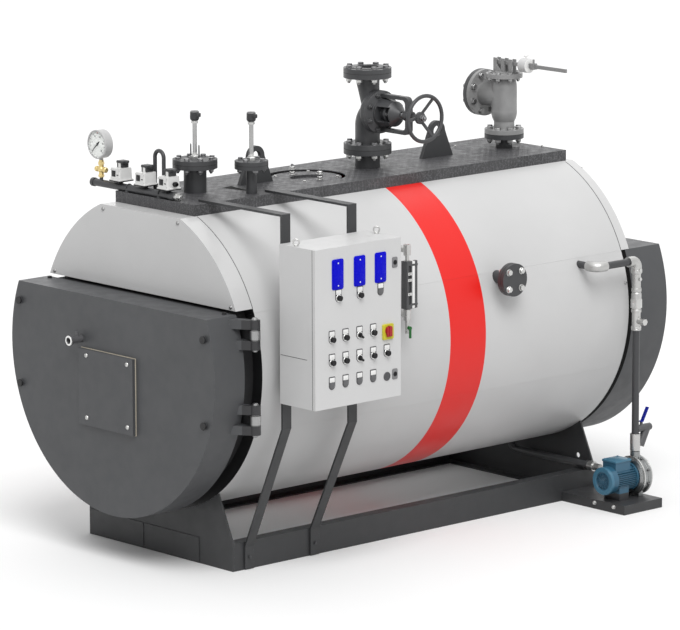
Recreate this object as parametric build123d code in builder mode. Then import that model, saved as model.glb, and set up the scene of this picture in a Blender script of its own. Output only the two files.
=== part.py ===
"""Packaged horizontal fire-tube steam boiler on a low steel base.

The floor is z = 0, x runs to the control side and y runs to the rear. The origin is on the
floor under the boiler axis, in the middle of the front foot. All sizes are in millimetres.
"""
import math
import os

from build123d import *

os.makedirs("parts", exist_ok=True)

# Fits and clearances
seat = 0.3                # gap between curved pieces that lie against each other
door_seat = 0.5           # air gap between the closed door and its frame

# Cladded shell
shell_r = 700.0
shell_len = 2256.0
shell_clear = 211.0       # height of the cladding's lowest line
flat_drop = 55.0          # how far the flat top lies below the full round
insulation = 110.0        # from the drum to the outer sheet
panel_count = 8           # cladding panels round the drum
panel_seam = 0.3
vessel_wall = 12.0
plate_t = 20.0            # tube plates
pipe_sink = 60.0          # how far a pipe starts inside the drum's wall, before it is cut there

# Base frame
base_half = 497.0
rail_h = 126.0
rail_flange = 60.0
rail_web = 7.0
foot_depth = 56.0
cradle_t = 8.0
foot_t = 7.0
rail_end = 8.0            # rear end of the base, ahead of the cladding's end
cradle_slope = 96.0       # how far the cradle's top lies inside its foot
doubler_x = (7.0, -112.0, -106.0, 270.0)  # left plate from the edge, gap, and end of the right plate
doubler_z = (6.0, 118.0)
doubler_t = 4.0
cradle_hole_r = 13.0
cradle_hole_in = 109.0
cradle_hole_up = 44.0
foot_trim = 1.0

# Furnace and fire tubes
furnace_clear = 310.0     # from the furnace to the drum
furnace_wall = 12.0
furnace_drop = 140.0      # furnace axis below the boiler axis
furnace_end = 356.0       # from the furnace's closed end to the drum's end
tube_r = 38.0
tube_wall = 4.0
tube_fit = 0.1
inner_row = 65.0          # first row of tubes, from the furnace
row_pitch = 95.0
inner_count = 11
inner_turn = (-30.0, 24.0)    # first tube and pitch of the inner row, in degrees
outer_count = 4
outer_turn = (-20.0, 21.0)

# Front frame, front cover and burner door
frame_inset = 60.0        # from the cladding's outline
frame_wall = 60.0
frame_depth = 100.0
door_depth = 170.0
cover_h = 360.0
cover_gap = 13.0          # between the cover and the door's straight upper edge
cover_depth = 96.0
burner_hole_r = 130.0
lining_gap = 50.0         # from the inside of the front frame
lining_top_gap = 43.0
lining_t = 14.0
burner_x = -17.0
burner_plate_w = 372.0
burner_plate_h = 342.0
burner_plate_t = 19.0
clamp_inset = 66.0
clamp_drop = (194.0, 88.0)    # lower pair under the boiler axis, upper pair under the door's top
clamp_r = 13.0
clamp_len = 16.0
sight_x = -205.0
sight_rise = 69.0         # above the boiler axis
sight_bore_r = 12.0
sight_r = 17.0
sight_len = 60.0
sight_cap_r = 22.0
sight_cap_len = 12.0
sight_cock_y = 25.0
sight_cock_r = 7.0
sight_cock_z = (15.0, 37.0)

# Door hinges
hinge_out = 35.0          # hinge axis outside the cladding
hinge_back = 72.0         # hinge axis in front of the cladding
hinge_drop = (181.0, 78.0)    # as for the clamps
hinge_pin_r = 10.0
hinge_pin_fit = 0.5
knuckle_r = 24.0
knuckle_half = 22.0
knuckle_gap = 3.0
leaf_h = 40.0
leaf_root = 60.0          # depth of the leaf where it joins the door
leaf_back = 1.0
arm_root = 60.0
arm_w = 30.0

# Rear hood and smoke box
hood_depth = 52.0
smoke_gap = 19.0
smoke_depth = 234.0
hood_h = 375.0
smoke_lip = 30.0
smoke_wall = 4.0
flue_r = 125.0
flue_wall = 4.0
flue_len = 90.0

# Walkway on the flat top
walk_edge = 2.0           # inside the edge of the flat top
walk_h = 50.0
walk_sheet = 5.0
walk_over = 12.0          # overhang past the cladding at each end

# Manhole
manhole_y = 855.0
manhole_hole_r = 178.0
manhole_cover_r = 160.0
manhole_neck_r = 150.0
manhole_neck_wall = 12.0
manhole_cover_t = 24.0
manhole_drop = 30.0       # joint face under the walkway
manhole_dish = (60.0, 85.0)

# Lifting lugs
lug_front_y = 548.0
lug_forward = 4.0         # rear lug, ahead of the middle between the two outlets
lug_base = 196.0
lug_rise = 170.0
lug_t = 20.0
lug_round = 48.0
lug_hole_r = 25.0

# Steam outlet, nominal bore 100
steam_y = 1230.0
steam_pipe_r = 57.15
steam_bore_r = 51.0
dn100_r = 110.0
dn100_pcd = 180.0
dn100_hole_r = 9.0
dn100_t = 24.0
steam_rise = 88.0         # joint face between nozzle and valve, above the walkway
valve_face_to_face = 350.0
raised_face_r = 79.0
raised_face_t = 3.0
leg_r = 57.0              # legs of the stop valve at the flanges
leg_bend = 72.0           # bend of the lower leg into the globe
throat_r = (57.0, 48.0, 46.0)     # upper leg, from the flange down into the globe
throat_x = (0.0, 12.0, 32.0)
throat_z = (151.0, 80.0, 10.0)    # heights of those sections above the valve's middle
leg_wall = 8.0
bore_depth = 30.0
globe_r = 90.0
neck_x = 61.0
bonnet_x = 83.0           # joint face between body and bonnet
bonnet_r = 98.5
bonnet_dome = 12.0
cone_x = (108.0, 188.0, 222.0, 232.0)     # outline of the bonnet's stuffing box housing
cone_r = (66.0, 58.0, 26.0, 18.0)
window_x = (120.0, 194.0)
window_h = 68.0
gland_r = 30.0
gland_x = (104.0, 200.0)
yoke_half = 87.0
yoke_bar = 17.0
yoke_w = 26.0
yoke_end_x = 290.0
yoke_bridge = 25.0
yoke_corner = 28.0
yoke_boss_r = 23.0
yoke_boss_x = (256.0, 300.0)
spindle_r = 10.5
spindle_fit = 0.5
spindle_x = 208.0
wheel_x = 384.0
wheel_r = 113.0
wheel_rim_r = 9.0
hub_x = (338.0, 358.0, 366.0)     # back, front edge and crown of the hub
hub_r = 28.0
spoke_a = 8.0
spoke_b = 5.5

# Safety valve, nominal bore 65 inlet and 100 outlet
safety_back = 130.0       # from the rear end of the cladding
safety_pipe_r = 38.05
dn65_r = 92.5
dn65_t = 22.0
safety_rise = 66.0        # joint face above the walkway
safety_neck_r = 48.0
safety_neck_h = 56.0
safety_body_r = 60.0
safety_top_r = 50.0
safety_body_h = 264.0
safety_outlet_h = 179.0
safety_shoulder = 56.0
safety_bulge = (2.0, 3.0)
safety_outlet_x = 143.0
outlet_neck_r = 60.0
outlet_flange_t = 20.0
counter_flange_t = 22.0
outlet_depth = 100.0
safety_cap_r = 86.0
safety_cap_t = 20.0
safety_crown_r = 44.0
safety_crown_h = 6.0
lever_rise = 69.0         # above the top of the body
lever_x = (-62.0, 412.0)
lever_h = 17.0
lever_t = 10.0
fulcrum_x = -48.0
fork_x = (3.0, 55.0)
fork_w = 20.0
fork_gap = 20.0           # between the plates of a fork
fork_t = 6.0
fork_above = 20.0         # top of the forks above the lever's middle
pin_r = 6.0
pin_fit = 0.3
boss_r = 13.0
weight_x = (122.0, 168.0)
weight_r = 34.0
collar_x = (186.0, 206.0)
collar_h = 28.0
screw_r = 5.0
screw_above = 33.0

# Level probes
probe_1_y = 195.0
probe_1_pipe_r = 50.8
dn80_r = 100.0
dn80_t = 20.0
probe_2_x = 198.0
probe_2_y = 354.0
probe_2_pipe_r = 24.15
dn40_r = 75.0
dn40_t = 18.0
probe_up = 129.0          # joint face between nozzle and cover flange, above the walkway
probe_rise = 199.0
probe_rod_r = 10.0
probe_head_r = 20.0
probe_head_h = 34.0

# Instrument manifold
manifold_y = -20.0
manifold_r = 16.85
manifold_x0 = -450.0
manifold_x1 = 100.0
gauge_x = -392.0
gauge_r = 64.0
gauge_depth = 46.0
gauge_rim = 5.0
dial_recess = 6.0
gauge_back = (50.0, 6.0)  # radius and depth of the step at the back
gauge_up = 194.0          # above the walkway
switch_x = (-262.0, -92.0, 66.0)
siphon_r = 9.0
siphon_bend = 30.0
siphon_up = 194.0
siphon_x = -60.0
siphon_back = 60.0
stem_r = 8.0              # stems of the switches and the gauge
stem_top = 10.0
housing_w = 76.0
housing_d = 84.0
housing_h = 58.0
housing_foot = 8.0
housing_step = 4.0        # from the foot's edge to the cap
housing_round = 8.0
housing_back = 8.0
housing_taper = 3.0       # degrees
plug_r = 17.0
plug_h = 30.0
plug_back = 12.0
cock_body_r = 11.0
cock_gap = 8.0
cock_tee_r = 10.0
cock_tee_len = 44.0
cock_tee_up = 62.0
gauge_stem_r = 9.0
gauge_stem_len = 20.0

# Control panel
panel_y = 21.0
panel_w = 500.0
panel_drop = 121.0        # foot of the panel below the boiler axis
panel_h = 700.0
panel_out = 60.0          # back of the panel outside the cladding
panel_depth = 212.0
panel_wall = 3.0
panel_door_t = 16.0
panel_door_gap = 0.5
panel_door_sheet = 2.0
switch_gap = 0.5          # behind the turning knob
display_w = 62.0
display_h = 142.0
display_t = 6.0
display_y = (130.0, 257.0, 379.0)         # from the panel's edge
display_z = 582.0
control_r = 14.0
control_len = 18.0
control_y = (98.0, 177.0, 258.0, 338.0)
control_z = (107.0, 207.0, 308.0)
lock_y = 463.0
lock_z = (101.0, 594.0)
switch_y = 418.0
switch_z = 300.0
switch_r = 19.0
switch_t = 12.0

# Straps that carry the panel
strap_w = 50.0
strap_t = 10.0
strap_y = (60.0, 445.0)
strap_bend_drop = (239.0, 266.0)
strap_foot_top = (104.0, 122.0)
strap_foot = 2.0
strap_lap = 60.0          # on the walkway

# Level gauge
level_out = 60.0          # outside the cladding
level_y = 770.0
level_rise = (172.0, 463.0)   # the two cocks above the boiler axis
level_body_rise = 199.0
level_body_w = 36.0
level_body_h = 214.0
level_slot_w = 14.0
level_slot_h = 176.0
level_slot_t = 6.0
level_chamfer = 3.0
cock_r = 14.0
cock_half = 24.0
cock_wall = 2.0
level_pipe_r = 9.0
level_tail = 60.0
tap_gap = 0.5
tap_drop = 58.0
tap_hub_r = 8.0
tap_hub_len = 14.0
tap_inset = 8.0
tap_grip_drop = 78.0
tap_grip_w = 10.0
tap_grip_h = 50.0
tap_grip_t = 6.0

# Blind stub, nominal bore 40
stub_y = 1425.0
stub_rise = 246.0
stub_out = 70.0

# Feed line
feed_back = 283.0         # where it enters the drum, from the rear end
feed_rise = 239.0
feed_out = 70.0
feed_drop_back = 22.0
feed_r = 16.85
fitting_r = 23.0
pipe_bend = 30.0
elbow_r = 24.0
elbow_arm = 57.0
valve_stem_drop = 282.0   # below the upper run
valve_stem_r = 14.0
valve_stem_len = 58.0
coupling_rise = (4.0, 83.0)   # above the pump's outlet

# Feed pump
skid_out = 135.0          # outside the pump's axis
skid_back = 228.0
skid_len = 250.0
skid_h = 44.0
pump_z = 140.0
motor_r = 64.0
fan_inlet_r = 40.0
motor_back = 235.0
pump_r = 92.0
outlet_rise = 20.0
pump_back = 60.0
pump_len = 76.0
suction_bore_r = 16.6
suction_depth = 34.0
suction_r = 27.0
suction_len = 18.0
discharge_r = 23.0
pump_foot_y = 32.0
pump_foot_w = 90.0
pump_foot_t = 28.0
motor_core_r = 54.0
motor_fin_r = 62.0
fin_pitch = 9.0
fin_steps = 5
fin_t = 3.0
fan_cover_len = 46.0
fan_recess = 8.0
motor_flange_t = 8.0
motor_foot_y = 92.0
motor_foot_w = 100.0
motor_foot_len = 60.0
box_w = 84.0
box_len = 96.0
box_top = 84.0
box_lip = 3.0
box_lid = 8.0

# Branch on the feed line
branch_rise = 104.0       # above the pump's outlet
branch_r = 17.0
branch_len = 96.0
leg_slope = 28.0          # strainer leg, degrees off upright
leg_out_r = 19.0
leg_len = 92.0
leg_end = 20.0
valve_back = 40.0
valve_hub_r = 7.0
valve_hub_h = 12.0
handle_gap = 0.5
handle_t = 5.0
handle_w = 18.0
handle_back = 10.0
handle_bend = 6.0
handle_reach = 42.0
handle_rise = 76.0
handle_skew = (3.0, 2.0)

# Drain
drain_back = 78.0
drain_z = 152.0
drain_out = 103.0         # end of the pipe outside the base
drain_sink = 40.0
drain_bend = 40.0
drain_socket = (90.0, 40.0)

# Worked out from the values above
axis_z = shell_clear + shell_r
vessel_r = shell_r - insulation
flat_height = shell_r - flat_drop
flat_z = axis_z + flat_height
walk_z = flat_z + walk_h
walk_half = math.sqrt(shell_r ** 2 - flat_height ** 2) - walk_edge
front_y = -foot_depth / 2
rear_y = front_y + shell_len
furnace_r = vessel_r - furnace_clear
furnace_len = shell_len - furnace_end
furnace_z = axis_z - furnace_drop
frame_r = shell_r - frame_inset
cover_bottom = flat_z - cover_h
door_top = cover_bottom - cover_gap
lining_r = frame_r - frame_wall - lining_gap
lining_top = door_top - frame_wall - lining_top_gap
smoke_top = flat_z - hood_h
sight_z = axis_z + sight_rise
hinge_x = shell_r + hinge_out
hinge_z = (axis_z - hinge_drop[0], door_top - hinge_drop[1])
clamp_x = shell_r - clamp_inset
clamp_z = (axis_z - clamp_drop[0], door_top - clamp_drop[1])
door_back_y = front_y - frame_depth - door_seat
door_front_y = door_back_y - door_depth
hinge_y = front_y - hinge_back
base_front_y = front_y
base_rear_y = rear_y - rail_end
smoke_y0 = rear_y + smoke_gap
smoke_y1 = smoke_y0 + smoke_depth
steam_flange_z = walk_z + steam_rise
valve_top_z = steam_flange_z + valve_face_to_face
valve_mid_z = steam_flange_z + valve_face_to_face / 2
safety_y = rear_y - safety_back
safety_flange_z = walk_z + safety_rise
safety_neck_z = safety_flange_z + safety_neck_h
safety_top_z = safety_flange_z + safety_body_h
safety_outlet_z = safety_flange_z + safety_outlet_h
lever_z = safety_top_z + lever_rise
fork_top_z = lever_z + fork_above
lug_y = (lug_front_y, (steam_y + safety_y) / 2 - lug_forward)
probe_flange_z = walk_z + probe_up
gauge_z = walk_z + gauge_up
siphon_top = walk_z + siphon_up
panel_z = axis_z - panel_drop
panel_back_x = shell_r + panel_out
level_x = shell_r + level_out
level_low_z, level_top_z = [axis_z + rise for rise in level_rise]
level_body_z = axis_z + level_body_rise
stub_z = axis_z + stub_rise
stub_face_x = shell_r + stub_out
feed_x = shell_r + feed_out
feed_y = rear_y - feed_back
feed_z = axis_z + feed_rise
feed_drop_y = rear_y - feed_drop_back
outlet_z = pump_z + pump_r + outlet_rise
coupling_z = [outlet_z + rise for rise in coupling_rise]
branch_z = outlet_z + branch_rise
skid_x1 = feed_x + skid_out
skid_y0 = rear_y - skid_back
motor_y0 = rear_y - motor_back
pump_y0 = rear_y - pump_back
drain_y = rear_y - drain_back
drain_end_x = base_half + drain_out
cradle_top_half = base_half - cradle_slope
cradle_top_z = axis_z - math.sqrt(shell_r ** 2 - cradle_top_half ** 2)
nozzle_foot_z = axis_z + vessel_r - pipe_sink
big = 4000.0


def across(y):
    """Plane of a cross-section at y: its x is the width and its y is the height."""
    return Plane.XZ.offset(-y)


def clipped_circle(radius, top):
    """Circle about the boiler axis with everything above the height top cut off."""
    with Locations((0, axis_z)):
        Circle(radius)
    with Locations((0, top - big / 2)):
        Rectangle(big, big, mode=Mode.INTERSECT)


def tube_places():
    """Centres of the fire tubes in the cross-section, in two rows round the furnace."""
    places = []
    radius = furnace_r + inner_row
    for step in range(inner_count):
        turn = math.radians(inner_turn[0] + inner_turn[1] * step)
        places.append((radius * math.cos(turn), furnace_z + radius * math.sin(turn)))
    radius += row_pitch
    for step in range(outer_count):
        turn = math.radians(outer_turn[0] + outer_turn[1] * step)
        for side in (-1, 1):
            places.append((side * radius * math.cos(turn), furnace_z + radius * math.sin(turn)))
    return places


def drum_side(height):
    """Place inside the drum's side wall at a height, where a pipe to that side starts."""
    return math.sqrt(vessel_r ** 2 - (height - axis_z) ** 2) - pipe_sink


def save(piece, name):
    piece.part.label = name
    export_step(piece.part, f"parts/{name}.step")


# Base rails: channels that open towards each other
with BuildPart() as base_rails:
    for side in (-1, 1):
        with BuildSketch(across(base_front_y + cradle_t)):
            with Locations((side * (base_half - rail_flange / 2), rail_h / 2)):
                Rectangle(rail_flange, rail_h)
            with Locations((side * (base_half - rail_web - rail_flange / 2), rail_h / 2)):
                Rectangle(rail_flange, rail_h - 2 * rail_web, mode=Mode.SUBTRACT)
        extrude(amount=-(base_rear_y - base_front_y - 2 * cradle_t))
save(base_rails, "base_rails")


def cradle_face():
    """Upright end plate of the base, hollowed out to carry the cladding."""
    with BuildLine() as outline:
        Polyline(
            (-base_half, 0),
            (base_half, 0),
            (base_half, rail_h),
            (cradle_top_half, cradle_top_z),
            (-cradle_top_half, cradle_top_z),
            (-base_half, rail_h),
            close=True,
        )
    make_face(outline.edges())
    with Locations((0, axis_z)):
        Circle(shell_r + seat, mode=Mode.SUBTRACT)


# Front cradle with two doubled plates and the front foot
with BuildPart() as front_cradle:
    with BuildSketch(across(base_front_y)):
        cradle_face()
    extrude(amount=-cradle_t)
    with BuildSketch(Plane.XY):
        with Locations((0, base_front_y + foot_depth / 2)):
            Rectangle(2 * (base_half - rail_flange - foot_trim), foot_depth)
    extrude(amount=foot_t)
    with BuildSketch(across(base_front_y)):
        for start, end in (
            (doubler_x[0] - base_half, doubler_x[1]),
            (doubler_x[2], doubler_x[3]),
        ):
            with Locations(((start + end) / 2, sum(doubler_z) / 2)):
                Rectangle(end - start, doubler_z[1] - doubler_z[0])
    extrude(amount=doubler_t)
save(front_cradle, "front_cradle")

# Rear cradle
with BuildPart() as rear_cradle:
    with BuildSketch(across(base_rear_y - cradle_t)):
        cradle_face()
        for side in (-1, 1):
            with Locations((side * (base_half - cradle_hole_in), rail_h + cradle_hole_up)):
                Circle(cradle_hole_r, mode=Mode.SUBTRACT)
    extrude(amount=-cradle_t)
    with BuildSketch(Plane.XY):
        with Locations((0, base_rear_y - foot_depth / 2)):
            Rectangle(2 * (base_half - rail_flange - foot_trim), foot_depth)
    extrude(amount=foot_t)
save(rear_cradle, "rear_cradle")

# Pressure vessel drum
with BuildPart() as pressure_vessel:
    with BuildSketch(across(front_y)):
        with Locations((0, axis_z)):
            Circle(vessel_r)
            Circle(vessel_r - vessel_wall, mode=Mode.SUBTRACT)
    extrude(amount=-shell_len)
save(pressure_vessel, "pressure_vessel")

# Tube plates
for plate_name, plate_y in (
    ("front_tube_plate", front_y),
    ("rear_tube_plate", rear_y - plate_t),
):
    with BuildPart() as tube_plate:
        with BuildSketch(across(plate_y)):
            with Locations((0, axis_z)):
                Circle(vessel_r - vessel_wall - tube_fit)
            with Locations(*tube_places()):
                Circle(tube_r + tube_fit, mode=Mode.SUBTRACT)
            if plate_name == "front_tube_plate":
                with Locations((0, furnace_z)):
                    Circle(furnace_r + tube_fit, mode=Mode.SUBTRACT)
        extrude(amount=-plate_t)
    save(tube_plate, plate_name)

# Furnace tube, closed at the rear
with BuildPart() as furnace:
    with BuildSketch(across(front_y)):
        with Locations((0, furnace_z)):
            Circle(furnace_r)
    extrude(amount=-furnace_len)
    with BuildSketch(across(front_y)):
        with Locations((0, furnace_z)):
            Circle(furnace_r - furnace_wall)
    extrude(amount=-(furnace_len - plate_t), mode=Mode.SUBTRACT)
save(furnace, "furnace")

# Fire tubes from plate to plate
with BuildPart() as fire_tubes:
    with BuildSketch(across(front_y)):
        with Locations(*tube_places()):
            Circle(tube_r)
            Circle(tube_r - tube_wall, mode=Mode.SUBTRACT)
    extrude(amount=-shell_len)
save(fire_tubes, "fire_tubes")

# Insulated cladding panels round the drum, with holes for what passes through them
with BuildPart() as shell_cladding:
    with BuildSketch(across(front_y)):
        clipped_circle(shell_r, flat_z)
        with Locations((0, axis_z)):
            Circle(vessel_r + seat, mode=Mode.SUBTRACT)
            with PolarLocations(0, panel_count // 2, start_angle=180 / panel_count, angular_range=180):
                Rectangle(3 * shell_r, panel_seam, mode=Mode.SUBTRACT)
    extrude(amount=-shell_len)
    with BuildSketch(Plane.XY.offset(axis_z)):
        with Locations((0, steam_y)):
            Circle(steam_pipe_r + seat)
        with Locations((0, safety_y)):
            Circle(safety_pipe_r + seat)
        with Locations((0, probe_1_y)):
            Circle(probe_1_pipe_r + seat)
        with Locations((probe_2_x, probe_2_y)):
            Circle(probe_2_pipe_r + seat)
        with Locations((0, manhole_y)):
            Circle(manhole_neck_r + seat)
        with Locations((0, lug_y[0]), (0, lug_y[1])):
            Rectangle(lug_t + 2 * seat, lug_base + 2 * seat)
    extrude(amount=shell_r, mode=Mode.SUBTRACT)
    with BuildSketch(Plane.YZ):
        with Locations((stub_y, stub_z)):
            Circle(probe_2_pipe_r + seat)
        with Locations((feed_y, feed_z)):
            Circle(feed_r + seat)
        with Locations((level_y, level_top_z), (level_y, level_low_z)):
            Circle(cock_r + seat)
    extrude(amount=2 * shell_r, mode=Mode.SUBTRACT)
    with BuildSketch(Plane.XY.offset(axis_z)):
        with Locations((0, drain_y)):
            Circle(feed_r + seat)
    extrude(amount=-2 * shell_r, mode=Mode.SUBTRACT)
save(shell_cladding, "shell_cladding")

# Front frame: the flanged box that the door closes
with BuildPart() as front_frame:
    with BuildSketch(across(front_y - frame_depth)):
        clipped_circle(frame_r, door_top)
    extrude(amount=-frame_depth)
    with BuildSketch(across(front_y - frame_depth)):
        clipped_circle(frame_r - frame_wall, door_top - frame_wall)
    extrude(amount=-frame_depth, mode=Mode.SUBTRACT)
    for height in hinge_z:
        with BuildSketch(Plane.XY.offset(height - knuckle_half)):
            with Locations((hinge_x, hinge_y)):
                Circle(knuckle_r)
            with Locations(((hinge_x + frame_r - arm_root) / 2, hinge_y)):
                Rectangle(hinge_x - frame_r + arm_root, arm_w)
        extrude(amount=2 * knuckle_half)
        with BuildSketch(Plane.XY.offset(height - knuckle_half - knuckle_gap - leaf_h)):
            with Locations((hinge_x, hinge_y)):
                Circle(hinge_pin_r)
        extrude(amount=2 * (knuckle_half + knuckle_gap + leaf_h))
save(front_frame, "front_frame")

# Front cover over the steam space
with BuildPart() as front_cover:
    with BuildSketch(across(front_y - cover_depth)):
        clipped_circle(shell_r, flat_z)
        with Locations((0, cover_bottom - big / 2)):
            Rectangle(big, big, mode=Mode.SUBTRACT)
    extrude(amount=-cover_depth)
save(front_cover, "front_cover")

# Burner door
with BuildPart() as burner_door:
    with BuildSketch(across(door_front_y)):
        clipped_circle(shell_r, door_top)
    extrude(amount=-door_depth)
    with BuildSketch(across(door_front_y)):
        with Locations((burner_x, furnace_z)):
            Circle(burner_hole_r)
    extrude(amount=-door_depth, mode=Mode.SUBTRACT)
    for height in hinge_z:
        for level in (
            height - knuckle_half - knuckle_gap - leaf_h,
            height + knuckle_half + knuckle_gap,
        ):
            with BuildSketch(Plane.XY.offset(level)):
                with BuildLine():
                    Polyline(
                        (frame_r, door_back_y - leaf_root),
                        (hinge_x, hinge_y - knuckle_r),
                        (hinge_x, hinge_y + knuckle_r),
                        (hinge_x - knuckle_r, hinge_y),
                        (frame_r, door_back_y - leaf_back),
                        close=True,
                    )
                make_face()
                with Locations((hinge_x, hinge_y)):
                    Circle(knuckle_r)
                    Circle(hinge_pin_r + hinge_pin_fit, mode=Mode.SUBTRACT)
            extrude(amount=leaf_h)
save(burner_door, "burner_door")

# Refractory lining on the back of the door, inside the front frame
with BuildPart() as door_lining:
    with BuildSketch(across(door_back_y)):
        clipped_circle(lining_r, lining_top)
        with Locations((burner_x, furnace_z)):
            Circle(burner_hole_r, mode=Mode.SUBTRACT)
    extrude(amount=-lining_t)
save(door_lining, "door_lining")

# Blanking plate over the burner opening
with BuildPart() as burner_plate:
    with BuildSketch(across(door_front_y)):
        with Locations((burner_x, furnace_z)):
            Rectangle(burner_plate_w, burner_plate_h)
    extrude(amount=burner_plate_t)
save(burner_plate, "burner_plate")

# Clamp nuts of the door
with BuildPart() as door_clamps:
    with BuildSketch(across(door_front_y)):
        for height in clamp_z:
            with Locations((-clamp_x, height), (clamp_x, height)):
                Circle(clamp_r)
    extrude(amount=clamp_len)
save(door_clamps, "door_clamps")

# Sight tube with its air cock
with BuildPart() as sight_tube:
    with BuildSketch(across(door_front_y)):
        with Locations((sight_x, sight_z)):
            Circle(sight_r)
            Circle(sight_bore_r, mode=Mode.SUBTRACT)
    extrude(amount=sight_len)
    with BuildSketch(across(door_front_y - sight_len)):
        with Locations((sight_x, sight_z)):
            Circle(sight_cap_r)
            Circle(sight_bore_r, mode=Mode.SUBTRACT)
    extrude(amount=sight_cap_len)
    with BuildSketch(Plane.XY.offset(sight_z + sight_cock_z[0])):
        with Locations((sight_x, door_front_y - sight_cock_y)):
            Circle(sight_cock_r)
    extrude(amount=sight_cock_z[1] - sight_cock_z[0])
save(sight_tube, "sight_tube")

# Rear hood
with BuildPart() as rear_hood:
    with BuildSketch(across(rear_y)):
        clipped_circle(shell_r, flat_z)
        with Locations((0, smoke_top - big / 2)):
            Rectangle(big, big, mode=Mode.SUBTRACT)
    extrude(amount=-hood_depth)
save(rear_hood, "rear_hood")

# Smoke box with the flue outlet in its back
with BuildPart() as smoke_box:
    with BuildSketch(across(rear_y)):
        clipped_circle(vessel_r, smoke_top - smoke_lip)
    extrude(amount=-smoke_gap)
    with BuildSketch(across(smoke_y0)):
        clipped_circle(shell_r, smoke_top - seat)
    extrude(amount=-smoke_depth)
    with BuildSketch(across(rear_y)):
        clipped_circle(vessel_r - smoke_lip, smoke_top - 2 * smoke_lip)
    extrude(amount=-(smoke_gap + smoke_depth - smoke_wall), mode=Mode.SUBTRACT)
    with BuildSketch(across(smoke_y1)):
        with Locations((0, axis_z)):
            Circle(flue_r)
    extrude(amount=-flue_len)
    with BuildSketch(across(smoke_y1 - smoke_wall)):
        with Locations((0, axis_z)):
            Circle(flue_r - flue_wall)
    extrude(amount=-(flue_len + smoke_wall), mode=Mode.SUBTRACT)
save(smoke_box, "smoke_box")

# Walkway tray with holes for what stands up through it
with BuildPart() as walkway:
    with BuildSketch(Plane.XY.offset(flat_z)):
        with Locations((0, (front_y + rear_y) / 2)):
            Rectangle(2 * walk_half, shell_len + 2 * walk_over)
    extrude(amount=walk_h)
    with BuildSketch(Plane.XY.offset(flat_z)):
        with Locations((0, (front_y + rear_y) / 2)):
            Rectangle(2 * (walk_half - walk_sheet), shell_len + 2 * (walk_over - walk_sheet))
    extrude(amount=walk_h - walk_sheet, mode=Mode.SUBTRACT)
    with BuildSketch(Plane.XY.offset(flat_z)):
        with Locations((0, steam_y)):
            Circle(steam_pipe_r + seat)
        with Locations((0, safety_y)):
            Circle(safety_pipe_r + seat)
        with Locations((0, probe_1_y)):
            Circle(probe_1_pipe_r + seat)
        with Locations((probe_2_x, probe_2_y)):
            Circle(probe_2_pipe_r + seat)
        with Locations((0, manhole_y)):
            Circle(manhole_hole_r)
        with Locations((0, lug_y[0]), (0, lug_y[1])):
            Rectangle(lug_t + 2 * seat, lug_base + 2 * seat)
    extrude(amount=walk_h, mode=Mode.SUBTRACT)
save(walkway, "walkway")


def drum_cut(y):
    """Take the drum away from the foot of a piece that stands on it."""
    with Locations(Plane.XZ.offset(-y)):
        with Locations((0, axis_z)):
            Cylinder(vessel_r + seat, big, mode=Mode.SUBTRACT)


# Manhole neck and cover
with BuildPart() as manhole_neck:
    with BuildSketch(Plane.XY.offset(nozzle_foot_z)):
        with Locations((0, manhole_y)):
            Circle(manhole_neck_r)
            Circle(manhole_neck_r - manhole_neck_wall, mode=Mode.SUBTRACT)
    extrude(amount=walk_z - manhole_drop - nozzle_foot_z)
    drum_cut(manhole_y)
save(manhole_neck, "manhole_neck")

with BuildPart() as manhole_cover:
    with BuildSketch(Plane.XY.offset(walk_z - manhole_drop)):
        with Locations((0, manhole_y)):
            Circle(manhole_cover_r)
    extrude(amount=manhole_cover_t)
    with BuildSketch(Plane.XY.offset(walk_z - manhole_drop + manhole_cover_t)):
        with Locations((0, manhole_y)):
            Ellipse(*manhole_dish)
    extrude(amount=-manhole_cover_t / 2, mode=Mode.SUBTRACT)
save(manhole_cover, "manhole_cover")

# Lifting lugs, welded to the drum and standing up through the walkway
lug_top_z = walk_z + lug_rise - lug_round
with BuildPart() as lifting_lugs:
    for middle in lug_y:
        with BuildSketch(Plane.YZ.offset(-lug_t / 2)):
            with BuildLine():
                Polyline(
                    (middle - lug_base / 2, nozzle_foot_z),
                    (middle + lug_base / 2, nozzle_foot_z),
                    (middle + lug_base / 2, walk_z),
                    (middle + lug_round, lug_top_z),
                    (middle - lug_round, lug_top_z),
                    (middle - lug_base / 2, walk_z),
                    close=True,
                )
            make_face()
            with Locations((middle, lug_top_z)):
                Circle(lug_round)
                Circle(lug_hole_r, mode=Mode.SUBTRACT)
        extrude(amount=lug_t)
        drum_cut(middle)
save(lifting_lugs, "lifting_lugs")

# Steam nozzle
with BuildPart() as steam_nozzle:
    with BuildSketch(Plane.XY.offset(nozzle_foot_z)):
        with Locations((0, steam_y)):
            Circle(steam_pipe_r)
    extrude(amount=steam_flange_z - nozzle_foot_z)
    with BuildSketch(Plane.XY.offset(steam_flange_z)):
        with Locations((0, steam_y)):
            Circle(dn100_r)
    extrude(amount=-dn100_t)
    with BuildSketch(Plane.XY.offset(nozzle_foot_z)):
        with Locations((0, steam_y)):
            Circle(steam_bore_r)
    extrude(amount=steam_flange_z - nozzle_foot_z, mode=Mode.SUBTRACT)
    drum_cut(steam_y)
save(steam_nozzle, "steam_nozzle")

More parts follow.
